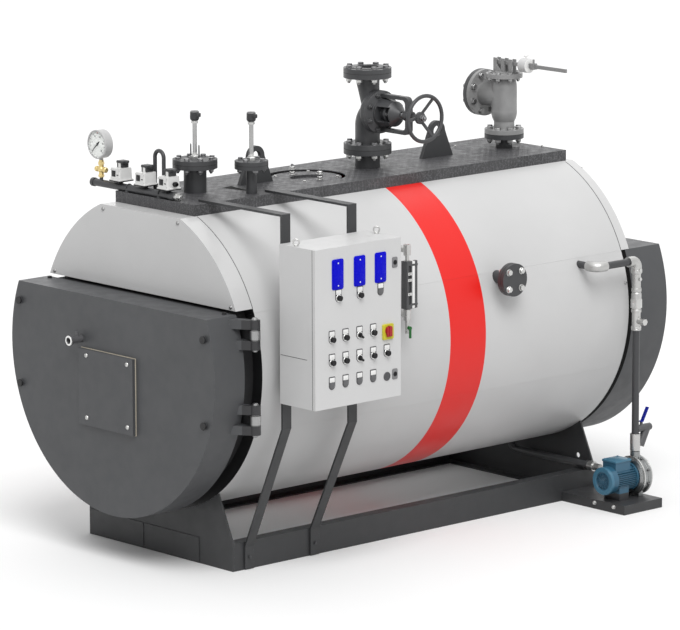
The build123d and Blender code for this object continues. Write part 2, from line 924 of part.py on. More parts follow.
# Steam stop valve body: the lower leg bends into the globe and the upper one leans out of it
with BuildPart() as stop_valve_body:
    for level, way in ((steam_flange_z, 1), (valve_top_z, -1)):
        with BuildSketch(Plane.XY.offset(level)):
            with Locations((0, steam_y)):
                Circle(dn100_r)
        extrude(amount=way * dn100_t)
    with BuildLine():
        Polyline((0, steam_y, steam_flange_z), (0, steam_y, valve_mid_z - leg_bend))
        TangentArc(
            (0, steam_y, valve_mid_z - leg_bend),
            (leg_bend, steam_y, valve_mid_z),
            tangent=(0, 0, 1),
        )
    with BuildSketch(Plane.XY.offset(steam_flange_z)):
        with Locations((0, steam_y)):
            Circle(leg_r)
    sweep()
    with BuildSketch(Plane.XZ.offset(-steam_y)):
        with BuildLine():
            ThreePointArc(
                (0, valve_mid_z),
                (0.3 * neck_x, valve_mid_z + 0.7 * globe_r),
                (neck_x, valve_mid_z + globe_r),
            )
            Polyline(
                (neck_x, valve_mid_z + globe_r),
                (neck_x, valve_mid_z + bonnet_r),
                (bonnet_x, valve_mid_z + bonnet_r),
                (bonnet_x, valve_mid_z),
                (0, valve_mid_z),
            )
        make_face()
    revolve(axis=Axis((0, steam_y, valve_mid_z), (1, 0, 0)))
    for wall, mode in ((0, Mode.ADD), (leg_wall, Mode.SUBTRACT)):
        for place, radius, height in zip(throat_x, throat_r, throat_z):
            with BuildSketch(Plane.XY.offset(valve_mid_z + height)):
                with Locations((place, steam_y)):
                    Circle(radius - wall)
        loft(mode=mode)
    with BuildSketch(Plane.XY.offset(valve_top_z)):
        with Locations((0, steam_y)):
            Circle(steam_bore_r)
    extrude(amount=-bore_depth, mode=Mode.SUBTRACT)
save(stop_valve_body, "stop_valve_body")

# Bonnet with its stuffing box, open at both sides, and the yoke
with BuildPart() as stop_valve_bonnet:
    with BuildSketch(Plane.XZ.offset(-steam_y)):
        with BuildLine():
            Polyline(
                (bonnet_x, valve_mid_z),
                (bonnet_x, valve_mid_z + bonnet_r),
                (bonnet_x + bonnet_dome, valve_mid_z + bonnet_r),
                *[(x, valve_mid_z + r) for x, r in zip(cone_x, cone_r)],
                (cone_x[-1], valve_mid_z),
                close=True,
            )
        make_face()
    revolve(axis=Axis((0, steam_y, valve_mid_z), (1, 0, 0)))
    with BuildSketch(Plane.XZ.offset(-steam_y)):
        with Locations((sum(window_x) / 2, valve_mid_z)):
            Rectangle(window_x[1] - window_x[0], window_h)
    extrude(amount=bonnet_r, both=True, mode=Mode.SUBTRACT)
    with BuildSketch(Plane.YZ.offset(gland_x[0])):
        with Locations((steam_y, valve_mid_z)):
            Circle(gland_r)
    extrude(amount=gland_x[1] - gland_x[0])
    with BuildSketch(Plane.XZ.offset(-steam_y)):
        with Locations((yoke_end_x / 2, valve_mid_z)):
            RectangleRounded(yoke_end_x, 2 * yoke_half, yoke_corner)
        with Locations(((yoke_end_x - yoke_bridge) / 2, valve_mid_z)):
            RectangleRounded(
                yoke_end_x - yoke_bridge,
                2 * (yoke_half - yoke_bar),
                yoke_corner - yoke_bar / 2,
                mode=Mode.SUBTRACT,
            )
        with Locations(((bonnet_x + bonnet_dome / 2) / 2, valve_mid_z)):
            Rectangle(bonnet_x + bonnet_dome / 2, 2 * bonnet_r, mode=Mode.SUBTRACT)
    extrude(amount=yoke_w / 2, both=True)
    with BuildSketch(Plane.YZ.offset(yoke_boss_x[0])):
        with Locations((steam_y, valve_mid_z)):
            Circle(yoke_boss_r)
    extrude(amount=yoke_boss_x[1] - yoke_boss_x[0])
    with BuildSketch(Plane.YZ.offset(spindle_x - 2)):
        with Locations((steam_y, valve_mid_z)):
            Circle(spindle_r + spindle_fit)
    extrude(amount=yoke_boss_x[1] - spindle_x + 2, mode=Mode.SUBTRACT)
save(stop_valve_bonnet, "stop_valve_bonnet")

# Dished handwheel on its spindle
with BuildPart() as handwheel:
    with BuildSketch(Plane.XZ.offset(-steam_y)):
        with Locations((wheel_x, valve_mid_z + wheel_r - wheel_rim_r)):
            Circle(wheel_rim_r)
    revolve(axis=Axis((0, steam_y, valve_mid_z), (1, 0, 0)))
    with BuildSketch(Plane.XZ.offset(-steam_y)):
        with BuildLine():
            Polyline(
                (hub_x[2], valve_mid_z),
                (spindle_x, valve_mid_z),
                (spindle_x, valve_mid_z + spindle_r),
                (hub_x[0], valve_mid_z + spindle_r),
                (hub_x[0], valve_mid_z + 0.7 * hub_r),
                (hub_x[0] + 0.3 * hub_r, valve_mid_z + hub_r),
                (hub_x[1], valve_mid_z + hub_r),
                (hub_x[2], valve_mid_z + 0.5 * hub_r),
                close=True,
            )
        make_face()
    revolve(axis=Axis((0, steam_y, valve_mid_z), (1, 0, 0)))
    spoke_rise = wheel_r - wheel_rim_r - 0.5 * hub_r
    spoke_run = wheel_x - (hub_x[0] + hub_x[1]) / 2
    for turn in (60, 180, 300):
        reach_y = math.cos(math.radians(turn))
        reach_z = math.sin(math.radians(turn))
        with BuildSketch(
            Plane(
                origin=(
                    wheel_x - spoke_run,
                    steam_y + 0.5 * hub_r * reach_y,
                    valve_mid_z + 0.5 * hub_r * reach_z,
                ),
                x_dir=(0, -reach_z, reach_y),
                z_dir=(spoke_run, spoke_rise * reach_y, spoke_rise * reach_z),
            )
        ):
            Ellipse(spoke_a, spoke_b)
        extrude(amount=math.hypot(spoke_rise, spoke_run))
save(handwheel, "handwheel")

# Counter flange on the steam outlet
with BuildPart() as steam_counter_flange:
    for radius, thickness in ((dn100_r, dn100_t - raised_face_t), (raised_face_r, dn100_t)):
        with BuildSketch(Plane.XY.offset(valve_top_z)):
            with Locations((0, steam_y)):
                Circle(radius)
        extrude(amount=thickness)
    with BuildSketch(Plane.XY.offset(valve_top_z)):
        with Locations((0, steam_y)):
            Circle(steam_bore_r)
            with PolarLocations(dn100_pcd / 2, 8, start_angle=22.5):
                Circle(dn100_hole_r)
    extrude(amount=dn100_t, mode=Mode.SUBTRACT)
save(steam_counter_flange, "steam_counter_flange")

# Safety valve nozzle
with BuildPart() as safety_nozzle:
    with BuildSketch(Plane.XY.offset(nozzle_foot_z)):
        with Locations((0, safety_y)):
            Circle(safety_pipe_r)
    extrude(amount=safety_flange_z - nozzle_foot_z)
    with BuildSketch(Plane.XY.offset(safety_flange_z)):
        with Locations((0, safety_y)):
            Circle(dn65_r)
    extrude(amount=-dn65_t)
    drum_cut(safety_y)
save(safety_nozzle, "safety_nozzle")

# Safety valve body: a barrel on a narrow neck with the outlet at its side
with BuildPart() as safety_valve_body:
    with BuildSketch(Plane.XZ.offset(-safety_y)):
        with BuildLine():
            Polyline(
                (0, safety_top_z),
                (0, safety_flange_z),
                (dn65_r, safety_flange_z),
                (dn65_r, safety_flange_z + dn65_t),
                (safety_neck_r, safety_flange_z + dn65_t),
                (safety_neck_r, safety_neck_z),
            )
            ThreePointArc(
                (safety_neck_r, safety_neck_z),
                (safety_body_r - safety_bulge[0], safety_neck_z + 0.43 * safety_shoulder),
                (safety_body_r, safety_neck_z + safety_shoulder),
            )
            Line(
                (safety_body_r, safety_neck_z + safety_shoulder),
                (safety_body_r, safety_top_z - safety_shoulder),
            )
            ThreePointArc(
                (safety_body_r, safety_top_z - safety_shoulder),
                (safety_body_r - safety_bulge[1], safety_top_z - 0.43 * safety_shoulder),
                (safety_top_r, safety_top_z),
            )
            Line((safety_top_r, safety_top_z), (0, safety_top_z))
        make_face()
    revolve(axis=Axis((0, safety_y, 0), (0, 0, 1)))
    for radius, start, length in (
        (outlet_neck_r, 0, -safety_outlet_x),
        (dn100_r, -safety_outlet_x, outlet_flange_t),
    ):
        with BuildSketch(Plane.YZ.offset(start)):
            with Locations((safety_y, safety_outlet_z)):
                Circle(radius)
        extrude(amount=length)
    with BuildSketch(Plane.YZ.offset(-safety_outlet_x)):
        with Locations((safety_y, safety_outlet_z)):
            Circle(steam_bore_r)
    extrude(amount=outlet_depth, mode=Mode.SUBTRACT)
save(safety_valve_body, "safety_valve_body")

# Outlet counter flange of the safety valve
with BuildPart() as safety_counter_flange:
    with BuildSketch(Plane.YZ.offset(-safety_outlet_x)):
        with Locations((safety_y, safety_outlet_z)):
            Circle(dn100_r)
            Circle(steam_bore_r, mode=Mode.SUBTRACT)
            with PolarLocations(dn100_pcd / 2, 8, start_angle=22.5):
                Circle(dn100_hole_r, mode=Mode.SUBTRACT)
    extrude(amount=-counter_flange_t)
save(safety_counter_flange, "safety_counter_flange")

# Cover of the safety valve with the braced fulcrum and the two guides of the lever
safety_cap_z = safety_top_z + safety_cap_t
with BuildPart() as safety_valve_cover:
    for radius, height in (
        (safety_cap_r, safety_cap_t),
        (safety_crown_r, safety_cap_t + safety_crown_h),
    ):
        with BuildSketch(Plane.XY.offset(safety_top_z)):
            with Locations((0, safety_y)):
                Circle(radius)
        extrude(amount=height)
    for side in (-1, 1):
        with BuildSketch(across(safety_y + side * (fork_gap + fork_t) / 2)):
            for place in (fulcrum_x, *fork_x):
                with Locations((place, (safety_cap_z + fork_top_z) / 2)):
                    Rectangle(fork_w, fork_top_z - safety_cap_z)
            with BuildLine():
                Polyline(
                    (fulcrum_x, safety_cap_z),
                    (fulcrum_x + 2.5 * fork_w, safety_cap_z),
                    (fulcrum_x, (safety_cap_z + fork_top_z) / 2 + fork_w / 2),
                    close=True,
                )
            make_face()
        extrude(amount=fork_t / 2, both=True)
    with BuildSketch(across(safety_y)):
        with Locations((fulcrum_x, lever_z)):
            Circle(pin_r)
    extrude(amount=fork_gap / 2 + fork_t / 2, both=True)
    with BuildSketch(Plane.XY.offset(safety_cap_z)):
        with Locations((0, safety_y)):
            Circle(pin_r)
    extrude(amount=lever_z - lever_h / 2 - seat - safety_cap_z)
save(safety_valve_cover, "safety_valve_cover")

# Lever of the safety valve with its weight and clamping collar
with BuildPart() as safety_lever:
    with BuildSketch(across(safety_y)):
        with Locations(((lever_x[0] + lever_x[1]) / 2, lever_z)):
            Rectangle(lever_x[1] - lever_x[0], lever_h)
        with Locations((fulcrum_x, lever_z)):
            Circle(boss_r)
            Circle(pin_r + pin_fit, mode=Mode.SUBTRACT)
    extrude(amount=lever_t / 2, both=True)
    with BuildSketch(Plane.YZ.offset(weight_x[0])):
        with Locations((safety_y, lever_z)):
            Circle(weight_r)
    extrude(amount=weight_x[1] - weight_x[0])
    with BuildSketch(Plane.YZ.offset(collar_x[0])):
        with Locations((safety_y, lever_z)):
            Rectangle(collar_h, collar_h)
    extrude(amount=collar_x[1] - collar_x[0])
    with BuildSketch(Plane.XY.offset(lever_z)):
        with Locations(((collar_x[0] + collar_x[1]) / 2, safety_y)):
            Circle(screw_r)
    extrude(amount=screw_above)
save(safety_lever, "safety_lever")

# Nozzles of the two level probes: x, y, pipe, flange radius and thickness of each
probe_sets = (
    (0, probe_1_y, probe_1_pipe_r, dn80_r, dn80_t),
    (probe_2_x, probe_2_y, probe_2_pipe_r, dn40_r, dn40_t),
)
with BuildPart() as probe_nozzles:
    for place_x, place_y, pipe_r, flange_r, flange_t in probe_sets:
        with BuildSketch(Plane.XY.offset(nozzle_foot_z)):
            with Locations((place_x, place_y)):
                Circle(pipe_r)
        extrude(amount=probe_flange_z - nozzle_foot_z)
        with BuildSketch(Plane.XY.offset(probe_flange_z)):
            with Locations((place_x, place_y)):
                Circle(flange_r)
        extrude(amount=-flange_t)
    drum_cut(probe_1_y)
save(probe_nozzles, "probe_nozzles")

# The level probes with their cover flanges
with BuildPart() as level_probes:
    for place_x, place_y, pipe_r, flange_r, flange_t in probe_sets:
        with BuildSketch(Plane.XY.offset(probe_flange_z)):
            with Locations((place_x, place_y)):
                Circle(flange_r)
        extrude(amount=flange_t)
        with BuildSketch(Plane.XY.offset(probe_flange_z)):
            with Locations((place_x, place_y)):
                Circle(probe_rod_r)
        extrude(amount=probe_rise)
        with BuildSketch(Plane.XY.offset(probe_flange_z + probe_rise)):
            with Locations((place_x, place_y)):
                Circle(probe_head_r)
        extrude(amount=probe_head_h)
save(level_probes, "level_probes")

# Instrument manifold with the siphon
manifold_z = walk_z + manifold_r
stem_z = manifold_z + manifold_r + stem_top
with BuildPart() as manifold:
    with BuildSketch(Plane.YZ.offset(manifold_x0)):
        with Locations((manifold_y, manifold_z)):
            Circle(manifold_r)
    extrude(amount=manifold_x1 - manifold_x0)
    for place in switch_x:
        with BuildSketch(Plane.XY.offset(manifold_z)):
            with Locations((place, manifold_y)):
                Circle(stem_r)
        extrude(amount=manifold_r + stem_top)
    with BuildSketch(Plane.XY.offset(manifold_z)):
        with Locations((gauge_x, manifold_y)):
            Circle(stem_r)
    extrude(amount=manifold_r + stem_top)
    with BuildLine():
        Polyline(
            (siphon_x - siphon_bend, manifold_y + siphon_back, walk_z),
            (siphon_x - siphon_bend, manifold_y + siphon_back, siphon_top - siphon_bend),
        )
        TangentArc(
            (siphon_x - siphon_bend, manifold_y + siphon_back, siphon_top - siphon_bend),
            (siphon_x + siphon_bend, manifold_y + siphon_back, siphon_top - siphon_bend),
            tangent=(0, 0, 1),
        )
        Polyline(
            (siphon_x + siphon_bend, manifold_y + siphon_back, siphon_top - siphon_bend),
            (siphon_x + siphon_bend, manifold_y + siphon_back, walk_z),
        )
    with BuildSketch(Plane.XY.offset(walk_z)):
        with Locations((siphon_x - siphon_bend, manifold_y + siphon_back)):
            Circle(siphon_r)
    sweep()
save(manifold, "manifold")

with BuildPart() as pressure_switches:
    for place in switch_x:
        with BuildSketch(Plane.XY.offset(stem_z)):
            with Locations((place, manifold_y + housing_back)):
                RectangleRounded(housing_w, housing_d, housing_round)
        extrude(amount=housing_foot)
        with BuildSketch(Plane.XY.offset(stem_z + housing_foot)):
            with Locations((place, manifold_y + housing_back)):
                RectangleRounded(
                    housing_w - 2 * housing_step,
                    housing_d - 2 * housing_step,
                    housing_round,
                )
        extrude(amount=housing_h - housing_foot, taper=housing_taper)
        with BuildSketch(Plane.XY.offset(stem_z + housing_h)):
            with Locations((place, manifold_y + plug_back)):
                Circle(plug_r)
        extrude(amount=plug_h)
save(pressure_switches, "pressure_switches")

with BuildPart() as gauge_cock:
    with BuildSketch(Plane.XY.offset(stem_z)):
        with Locations((gauge_x, manifold_y)):
            Circle(cock_body_r)
    extrude(amount=gauge_z - gauge_r - cock_gap - stem_z)
    with BuildSketch(Plane.YZ.offset(gauge_x)):
        with Locations((manifold_y, manifold_z + cock_tee_up)):
            Circle(cock_tee_r)
    extrude(amount=cock_tee_len / 2, both=True)
save(gauge_cock, "gauge_cock")

with BuildPart() as pressure_gauge:
    with BuildSketch(across(manifold_y - gauge_depth / 2)):
        with Locations((gauge_x, gauge_z)):
            Circle(gauge_r)
    extrude(amount=-(gauge_depth - gauge_back[1]))
    with BuildSketch(across(manifold_y + gauge_depth / 2)):
        with Locations((gauge_x, gauge_z)):
            Circle(gauge_back[0])
    extrude(amount=2 * gauge_back[1])
    with BuildSketch(across(manifold_y - gauge_depth / 2)):
        with Locations((gauge_x, gauge_z)):
            Circle(gauge_r - gauge_rim)
    extrude(amount=-dial_recess, mode=Mode.SUBTRACT)
    with BuildSketch(Plane.XY.offset(gauge_z - gauge_r - cock_gap)):
        with Locations((gauge_x, manifold_y)):
            Circle(gauge_stem_r)
    extrude(amount=gauge_stem_len)
save(pressure_gauge, "pressure_gauge")


# Straps from the walkway edge over the cladding and down to the rails
with BuildPart() as panel_straps:
    for middle, bend_drop, foot_top in zip(strap_y, strap_bend_drop, strap_foot_top):
        bend_z = axis_z - bend_drop
        with BuildSketch(across(middle - strap_w / 2)):
            with BuildLine():
                Polyline(
                    (walk_half - strap_lap, walk_z),
                    (walk_half - strap_lap, walk_z + strap_t),
                    (panel_back_x, walk_z + strap_t),
                    (panel_back_x, bend_z),
                    (base_half + strap_t, foot_top),
                    (base_half + strap_t, strap_foot),
                    (base_half, strap_foot),
                    (base_half, foot_top),
                    (panel_back_x - strap_t, bend_z),
                    (panel_back_x - strap_t, walk_z),
                    close=True,
                )
            make_face()
        extrude(amount=-strap_w)
save(panel_straps, "panel_straps")

# Control panel cabinet, open at the front
with BuildPart() as panel_cabinet:
    with BuildSketch(Plane.YZ.offset(panel_back_x)):
        with Locations((panel_y + panel_w / 2, panel_z + panel_h / 2)):
            Rectangle(panel_w, panel_h)
    extrude(amount=panel_depth)
    with BuildSketch(Plane.YZ.offset(panel_back_x + panel_wall)):
        with Locations((panel_y + panel_w / 2, panel_z + panel_h / 2)):
            Rectangle(panel_w - 2 * panel_wall, panel_h - 2 * panel_wall)
    extrude(amount=panel_depth, mode=Mode.SUBTRACT)
save(panel_cabinet, "panel_cabinet")

panel_door_x = panel_back_x + panel_depth + panel_door_gap
panel_face_x = panel_door_x + panel_door_t

# Panel door: a tray of folded sheet
with BuildPart() as panel_door:
    for trim, depth, mode in (
        (0, panel_door_t, Mode.ADD),
        (2 * panel_door_sheet, panel_door_t - panel_door_sheet, Mode.SUBTRACT),
    ):
        with BuildSketch(Plane.YZ.offset(panel_door_x)):
            with Locations((panel_y + panel_w / 2, panel_z + panel_h / 2)):
                Rectangle(panel_w - trim, panel_h - trim)
        extrude(amount=depth, mode=mode)
save(panel_door, "panel_door")

with BuildPart() as panel_displays:
    with BuildSketch(Plane.YZ.offset(panel_face_x)):
        for place in display_y:
            with Locations((panel_y + place, panel_z + display_z)):
                Rectangle(display_w, display_h)
    extrude(amount=display_t)
save(panel_displays, "panel_displays")

# Buttons, lamps and turning switches, and the two locks
with BuildPart() as panel_controls:
    with BuildSketch(Plane.YZ.offset(panel_face_x)):
        for level in control_z:
            for place in control_y:
                with Locations((panel_y + place, panel_z + level)):
                    Circle(control_r)
        with Locations((panel_y + switch_y, panel_z + control_z[1])):
            Circle(control_r)
        for level in lock_z:
            with Locations((panel_y + lock_y, panel_z + level)):
                Circle(control_r)
    extrude(amount=control_len)
save(panel_controls, "panel_controls")

with BuildPart() as main_switch:
    with BuildSketch(Plane.YZ.offset(panel_face_x + switch_gap)):
        with Locations((panel_y + switch_y, panel_z + switch_z)):
            Circle(switch_r)
    extrude(amount=switch_t)
    with BuildSketch(Plane.YZ.offset(panel_face_x + switch_gap + switch_t)):
        with Locations((panel_y + switch_y, panel_z + switch_z)):
            Rectangle(0.6 * switch_r, 2.2 * switch_r)
    extrude(amount=switch_t)
save(main_switch, "main_switch")

# Level gauge on two cocks
with BuildPart() as level_cocks:
    for height in (level_top_z, level_low_z):
        with BuildSketch(Plane.YZ.offset(drum_side(height))):
            with Locations((level_y, height)):
                Circle(cock_r)
        extrude(amount=level_x - drum_side(height))
        with BuildSketch(Plane.XY.offset(height)):
            with Locations((level_x, level_y)):
                Circle(cock_r + cock_wall)
        extrude(amount=cock_half, both=True)
    for low, high in (
        (level_low_z - cock_half - level_tail, level_low_z - cock_half),
        (level_low_z + cock_half, level_body_z),
        (level_body_z + level_body_h, level_top_z - cock_half),
    ):
        with BuildSketch(Plane.XY.offset(low)):
            with Locations((level_x, level_y)):
                Circle(level_pipe_r)
        extrude(amount=high - low)
    drum_cut(level_y)
save(level_cocks, "level_cocks")

with BuildPart() as level_gauge:
    with BuildSketch(Plane.XY.offset(level_body_z + seat)):
        with Locations((level_x, level_y)):
            Rectangle(level_body_w, level_body_w)
    extrude(amount=level_body_h - 2 * seat)
    with BuildSketch(Plane.YZ.offset(level_x + level_body_w / 2)):
        with Locations((level_y, level_body_z + level_body_h / 2)):
            RectangleRounded(level_slot_w, level_slot_h, level_slot_w / 2 - seat)
    extrude(amount=-level_slot_t, mode=Mode.SUBTRACT)
    front_edges = level_gauge.edges().filter_by(Axis.Z).group_by(Axis.X)[-1].sort_by(Axis.Y)
    chamfer((front_edges[0], front_edges[-1]), level_chamfer)
save(level_gauge, "level_gauge")

with BuildPart() as drain_cock_handle:
    with BuildSketch(Plane.YZ.offset(level_x + level_pipe_r + tap_gap)):
        with Locations((level_y, level_low_z - tap_drop)):
            Circle(tap_hub_r)
    extrude(amount=tap_hub_len)
    with BuildSketch(Plane.YZ.offset(level_x + level_pipe_r + tap_gap + tap_inset)):
        with Locations((level_y, level_low_z - tap_grip_drop)):
            Rectangle(tap_grip_w, tap_grip_h)
    extrude(amount=tap_grip_t)
save(drain_cock_handle, "drain_cock_handle")

# Blind stub
with BuildPart() as blind_stub:
    with BuildSketch(Plane.YZ.offset(drum_side(stub_z))):
        with Locations((stub_y, stub_z)):
            Circle(probe_2_pipe_r)
    extrude(amount=stub_face_x - dn40_t - drum_side(stub_z))
    with BuildSketch(Plane.YZ.offset(stub_face_x - dn40_t)):
        with Locations((stub_y, stub_z)):
            Circle(dn40_r)
    extrude(amount=dn40_t, both=True)
    drum_cut(stub_y)
save(blind_stub, "blind_stub")

# Feed line from the pump to the drum
with BuildPart() as feed_pipe:
    with BuildLine():
        FilletPolyline(
            (drum_side(feed_z), feed_y, feed_z),
            (feed_x, feed_y, feed_z),
            (feed_x, feed_drop_y, feed_z),
            (feed_x, feed_drop_y, outlet_z),
            radius=pipe_bend,
        )
    with BuildSketch(Plane.YZ.offset(drum_side(feed_z))):
        with Locations((feed_y, feed_z)):
            Circle(feed_r)
    sweep()
    drum_cut(feed_y)
save(feed_pipe, "feed_pipe")

# Elbows, union, check valve and stop valve: radius, and depth below the upper run, down the leg
leg_outline = (
    (26.0, 40.0),
    (26.0, 54.0),
    (20.0, 64.0),
    (20.0, 128.0),
    (22.0, 128.0),
    (22.0, 143.0),
    (19.5, 146.0),
    (23.0, 152.0),
    (23.0, 217.0),
    (19.5, 223.0),
    (22.0, 230.0),
    (22.0, 240.0),
    (20.0, 242.0),
    (20.0, 308.0),
    (21.5, 312.0),
    (21.5, 326.0),
)
with BuildPart() as feed_fittings:
    for radius, mode in ((elbow_r, Mode.ADD), (feed_r + seat, Mode.SUBTRACT)):
        for start, corner, end, heading in (
            (
                (feed_x - elbow_arm, feed_y, feed_z),
                (feed_x, feed_y, feed_z),
                (feed_x, feed_y + elbow_arm, feed_z),
                (1, 0, 0),
            ),
            (
                (feed_x, feed_drop_y - elbow_arm, feed_z),
                (feed_x, feed_drop_y, feed_z),
                (feed_x, feed_drop_y, feed_z - leg_outline[0][1]),
                (0, 1, 0),
            ),
        ):
            with BuildLine():
                FilletPolyline(start, corner, end, radius=pipe_bend)
            with BuildSketch(Plane(origin=start, z_dir=heading)):
                Circle(radius)
            sweep(mode=mode)
    with BuildSketch(Plane.XZ.offset(-feed_drop_y)):
        with BuildLine():
            Polyline(
                (feed_x, feed_z - leg_outline[0][1]),
                *[(feed_x + radius, feed_z - depth) for radius, depth in leg_outline],
                (feed_x, feed_z - leg_outline[-1][1]),
                close=True,
            )
        make_face()
    revolve(axis=Axis((feed_x, feed_drop_y, 0), (0, 0, 1)))
    with BuildSketch(Plane.YZ.offset(feed_x)):
        with Locations((feed_drop_y, feed_z - valve_stem_drop)):
            Circle(valve_stem_r)
    extrude(amount=valve_stem_len)
    with BuildSketch(Plane.XY.offset(coupling_z[0])):
        with Locations((feed_x, feed_drop_y)):
            Circle(elbow_r)
    extrude(amount=coupling_z[1] - coupling_z[0])
    with BuildSketch(Plane.XY.offset(coupling_z[0])):
        with Locations((feed_x, feed_drop_y)):
            Circle(feed_r + seat)
    extrude(amount=feed_z - leg_outline[0][1] - coupling_z[0], mode=Mode.SUBTRACT)
save(feed_fittings, "feed_fittings")

# Feed pump on its skid
with BuildPart() as pump_skid:
    with BuildSketch(Plane.XY):
        with Locations(((base_half + skid_x1) / 2, skid_y0 + skid_len / 2)):
            Rectangle(skid_x1 - base_half, skid_len)
    extrude(amount=skid_h)
save(pump_skid, "pump_skid")

# Pump motor: finned housing with a fan cover, a terminal box and a foot
with BuildPart() as pump_motor:
    with BuildSketch(across(motor_y0)):
        with Locations((feed_x, pump_z)):
            Circle(motor_core_r)
            for step in range(-fin_steps, fin_steps + 1):
                height = step * fin_pitch
                with Locations((0, height)):
                    Rectangle(2 * math.sqrt(motor_fin_r ** 2 - height ** 2), fin_t)
    extrude(amount=-(pump_y0 - motor_y0))
    with BuildSketch(across(motor_y0)):
        with Locations((feed_x, pump_z)):
            Circle(motor_r)
    extrude(amount=-fan_cover_len)
    with BuildSketch(across(motor_y0)):
        with Locations((feed_x, pump_z)):
            Circle(fan_inlet_r)
    extrude(amount=-fan_recess, mode=Mode.SUBTRACT)
    with BuildSketch(across(pump_y0)):
        with Locations((feed_x, pump_z)):
            Circle(motor_r)
    extrude(amount=motor_flange_t)
    with BuildSketch(Plane.XY.offset(skid_h)):
        with Locations((feed_x, motor_y0 + motor_foot_y)):
            Rectangle(motor_foot_w, motor_foot_len)
    extrude(amount=pump_z - skid_h)
    with BuildSketch(Plane.XY.offset(pump_z)):
        with Locations((feed_x, motor_y0 + motor_foot_y)):
            Rectangle(box_w, box_len)
    extrude(amount=box_top)
    with BuildSketch(Plane.XY.offset(pump_z + box_top)):
        with Locations((feed_x, motor_y0 + motor_foot_y)):
            Rectangle(box_w + 2 * box_lip, box_len + 2 * box_lip)
    extrude(amount=box_lid)
save(pump_motor, "pump_motor")

# Pump casing pressed from sheet, with its clamped end cover and the suction socket
casing_outline = (
    (0, 0.78),
    (6, 0.93),
    (12, 0.93),
    (12, 1.0),
    (18, 1.0),
    (18, 0.9),
    (46, 0.9),
    (52, 0.99),
    (64, 0.99),
    (64, 0.86),
    (76, 0.62),
)
with BuildPart() as pump_casing:
    with BuildSketch(Plane.YZ.offset(feed_x)):
        with BuildLine():
            Polyline(
                (pump_y0, pump_z),
                *[(pump_y0 + y, pump_z + pump_r * share) for y, share in casing_outline],
                (pump_y0 + casing_outline[-1][0], pump_z),
                close=True,
            )
        make_face()
    revolve(axis=Axis((feed_x, 0, pump_z), (0, 1, 0)))
    with BuildSketch(Plane.XY.offset(pump_z)):
        with Locations((feed_x, feed_drop_y)):
            Circle(discharge_r)
    extrude(amount=outlet_z - pump_z)
    with BuildSketch(across(pump_y0 + pump_len)):
        with Locations((feed_x, pump_z)):
            Circle(suction_r)
    extrude(amount=-suction_len)
    with BuildSketch(across(pump_y0 + pump_len + suction_len)):
        with Locations((feed_x, pump_z)):
            Circle(suction_bore_r)
    extrude(amount=suction_depth, mode=Mode.SUBTRACT)
    with BuildSketch(Plane.XY.offset(skid_h)):
        with Locations((feed_x, pump_y0 + pump_foot_y)):
            Rectangle(pump_foot_w, pump_foot_t)
    extrude(amount=pump_z - skid_h - 0.5 * pump_r)
save(pump_casing, "pump_casing")

# Branch off the feed line with a strainer leg and a ball valve
branch_end_y = feed_drop_y + branch_len
stem_y = feed_drop_y + valve_back
handle_z = branch_z + branch_r + valve_hub_h + handle_gap
with BuildPart() as branch_valve:
    with BuildSketch(across(feed_drop_y)):
        with Locations((feed_x, branch_z)):
            Circle(branch_r)
    extrude(amount=-(branch_end_y - feed_drop_y))
    with BuildSketch(Plane.XY.offset(branch_z)):
        with Locations((feed_x, stem_y)):
            Circle(valve_hub_r)
    extrude(amount=branch_r + valve_hub_h)
    leg = Plane(
        origin=(feed_x, branch_end_y - leg_end, branch_z),
        x_dir=(1, 0, 0),
        z_dir=(0, -math.sin(math.radians(leg_slope)), -math.cos(math.radians(leg_slope))),
    )
    with BuildSketch(leg):
        Circle(leg_out_r)
    extrude(amount=leg_len)
    for radius, top in ((elbow_r + seat, coupling_z[1]), (feed_r + seat, branch_z + branch_len)):
        with BuildSketch(Plane.XY):
            with Locations((feed_x, feed_drop_y)):
                Circle(radius)
        extrude(amount=top, mode=Mode.SUBTRACT)
save(branch_valve, "branch_valve")

with BuildPart() as ball_valve_lever:
    with BuildSketch(Plane.YZ.offset(feed_x)):
        with BuildLine():
            Polyline(
                (stem_y - handle_back, handle_z),
                (stem_y + handle_bend, handle_z),
                (stem_y + handle_reach, branch_z + branch_r + handle_rise),
                (stem_y + handle_reach - handle_t, branch_z + branch_r + handle_rise + handle_skew[1]),
                (stem_y + handle_bend - handle_skew[0], handle_z + handle_t),
                (stem_y - handle_back, handle_z + handle_t),
                close=True,
            )
        make_face()
    extrude(amount=handle_w / 2, both=True)
save(ball_valve_lever, "ball_valve_lever")

# Drain pipe under the drum
with BuildPart() as drain_pipe:
    with BuildLine():
        FilletPolyline(
            (0, drain_y, axis_z - vessel_r + drain_sink),
            (0, drain_y, drain_z),
            (drain_end_x, drain_y, drain_z),
            radius=drain_bend,
        )
    with BuildSketch(Plane.XY.offset(axis_z - vessel_r + drain_sink)):
        with Locations((0, drain_y)):
            Circle(feed_r)
    sweep()
    drum_cut(drain_y)
    with BuildSketch(Plane.YZ.offset(drain_end_x - drain_socket[0])):
        with Locations((drain_y, drain_z)):
            Circle(fitting_r)
    extrude(amount=drain_socket[0] - drain_socket[1])
save(drain_pipe, "drain_pipe")
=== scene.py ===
"""Looks of the packaged steam boiler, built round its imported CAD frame. Metres, z up."""
from math import asin, atan2, cos, pi, radians, sin, sqrt, tau

import bmesh
import bpy
from mathutils import Matrix, Vector


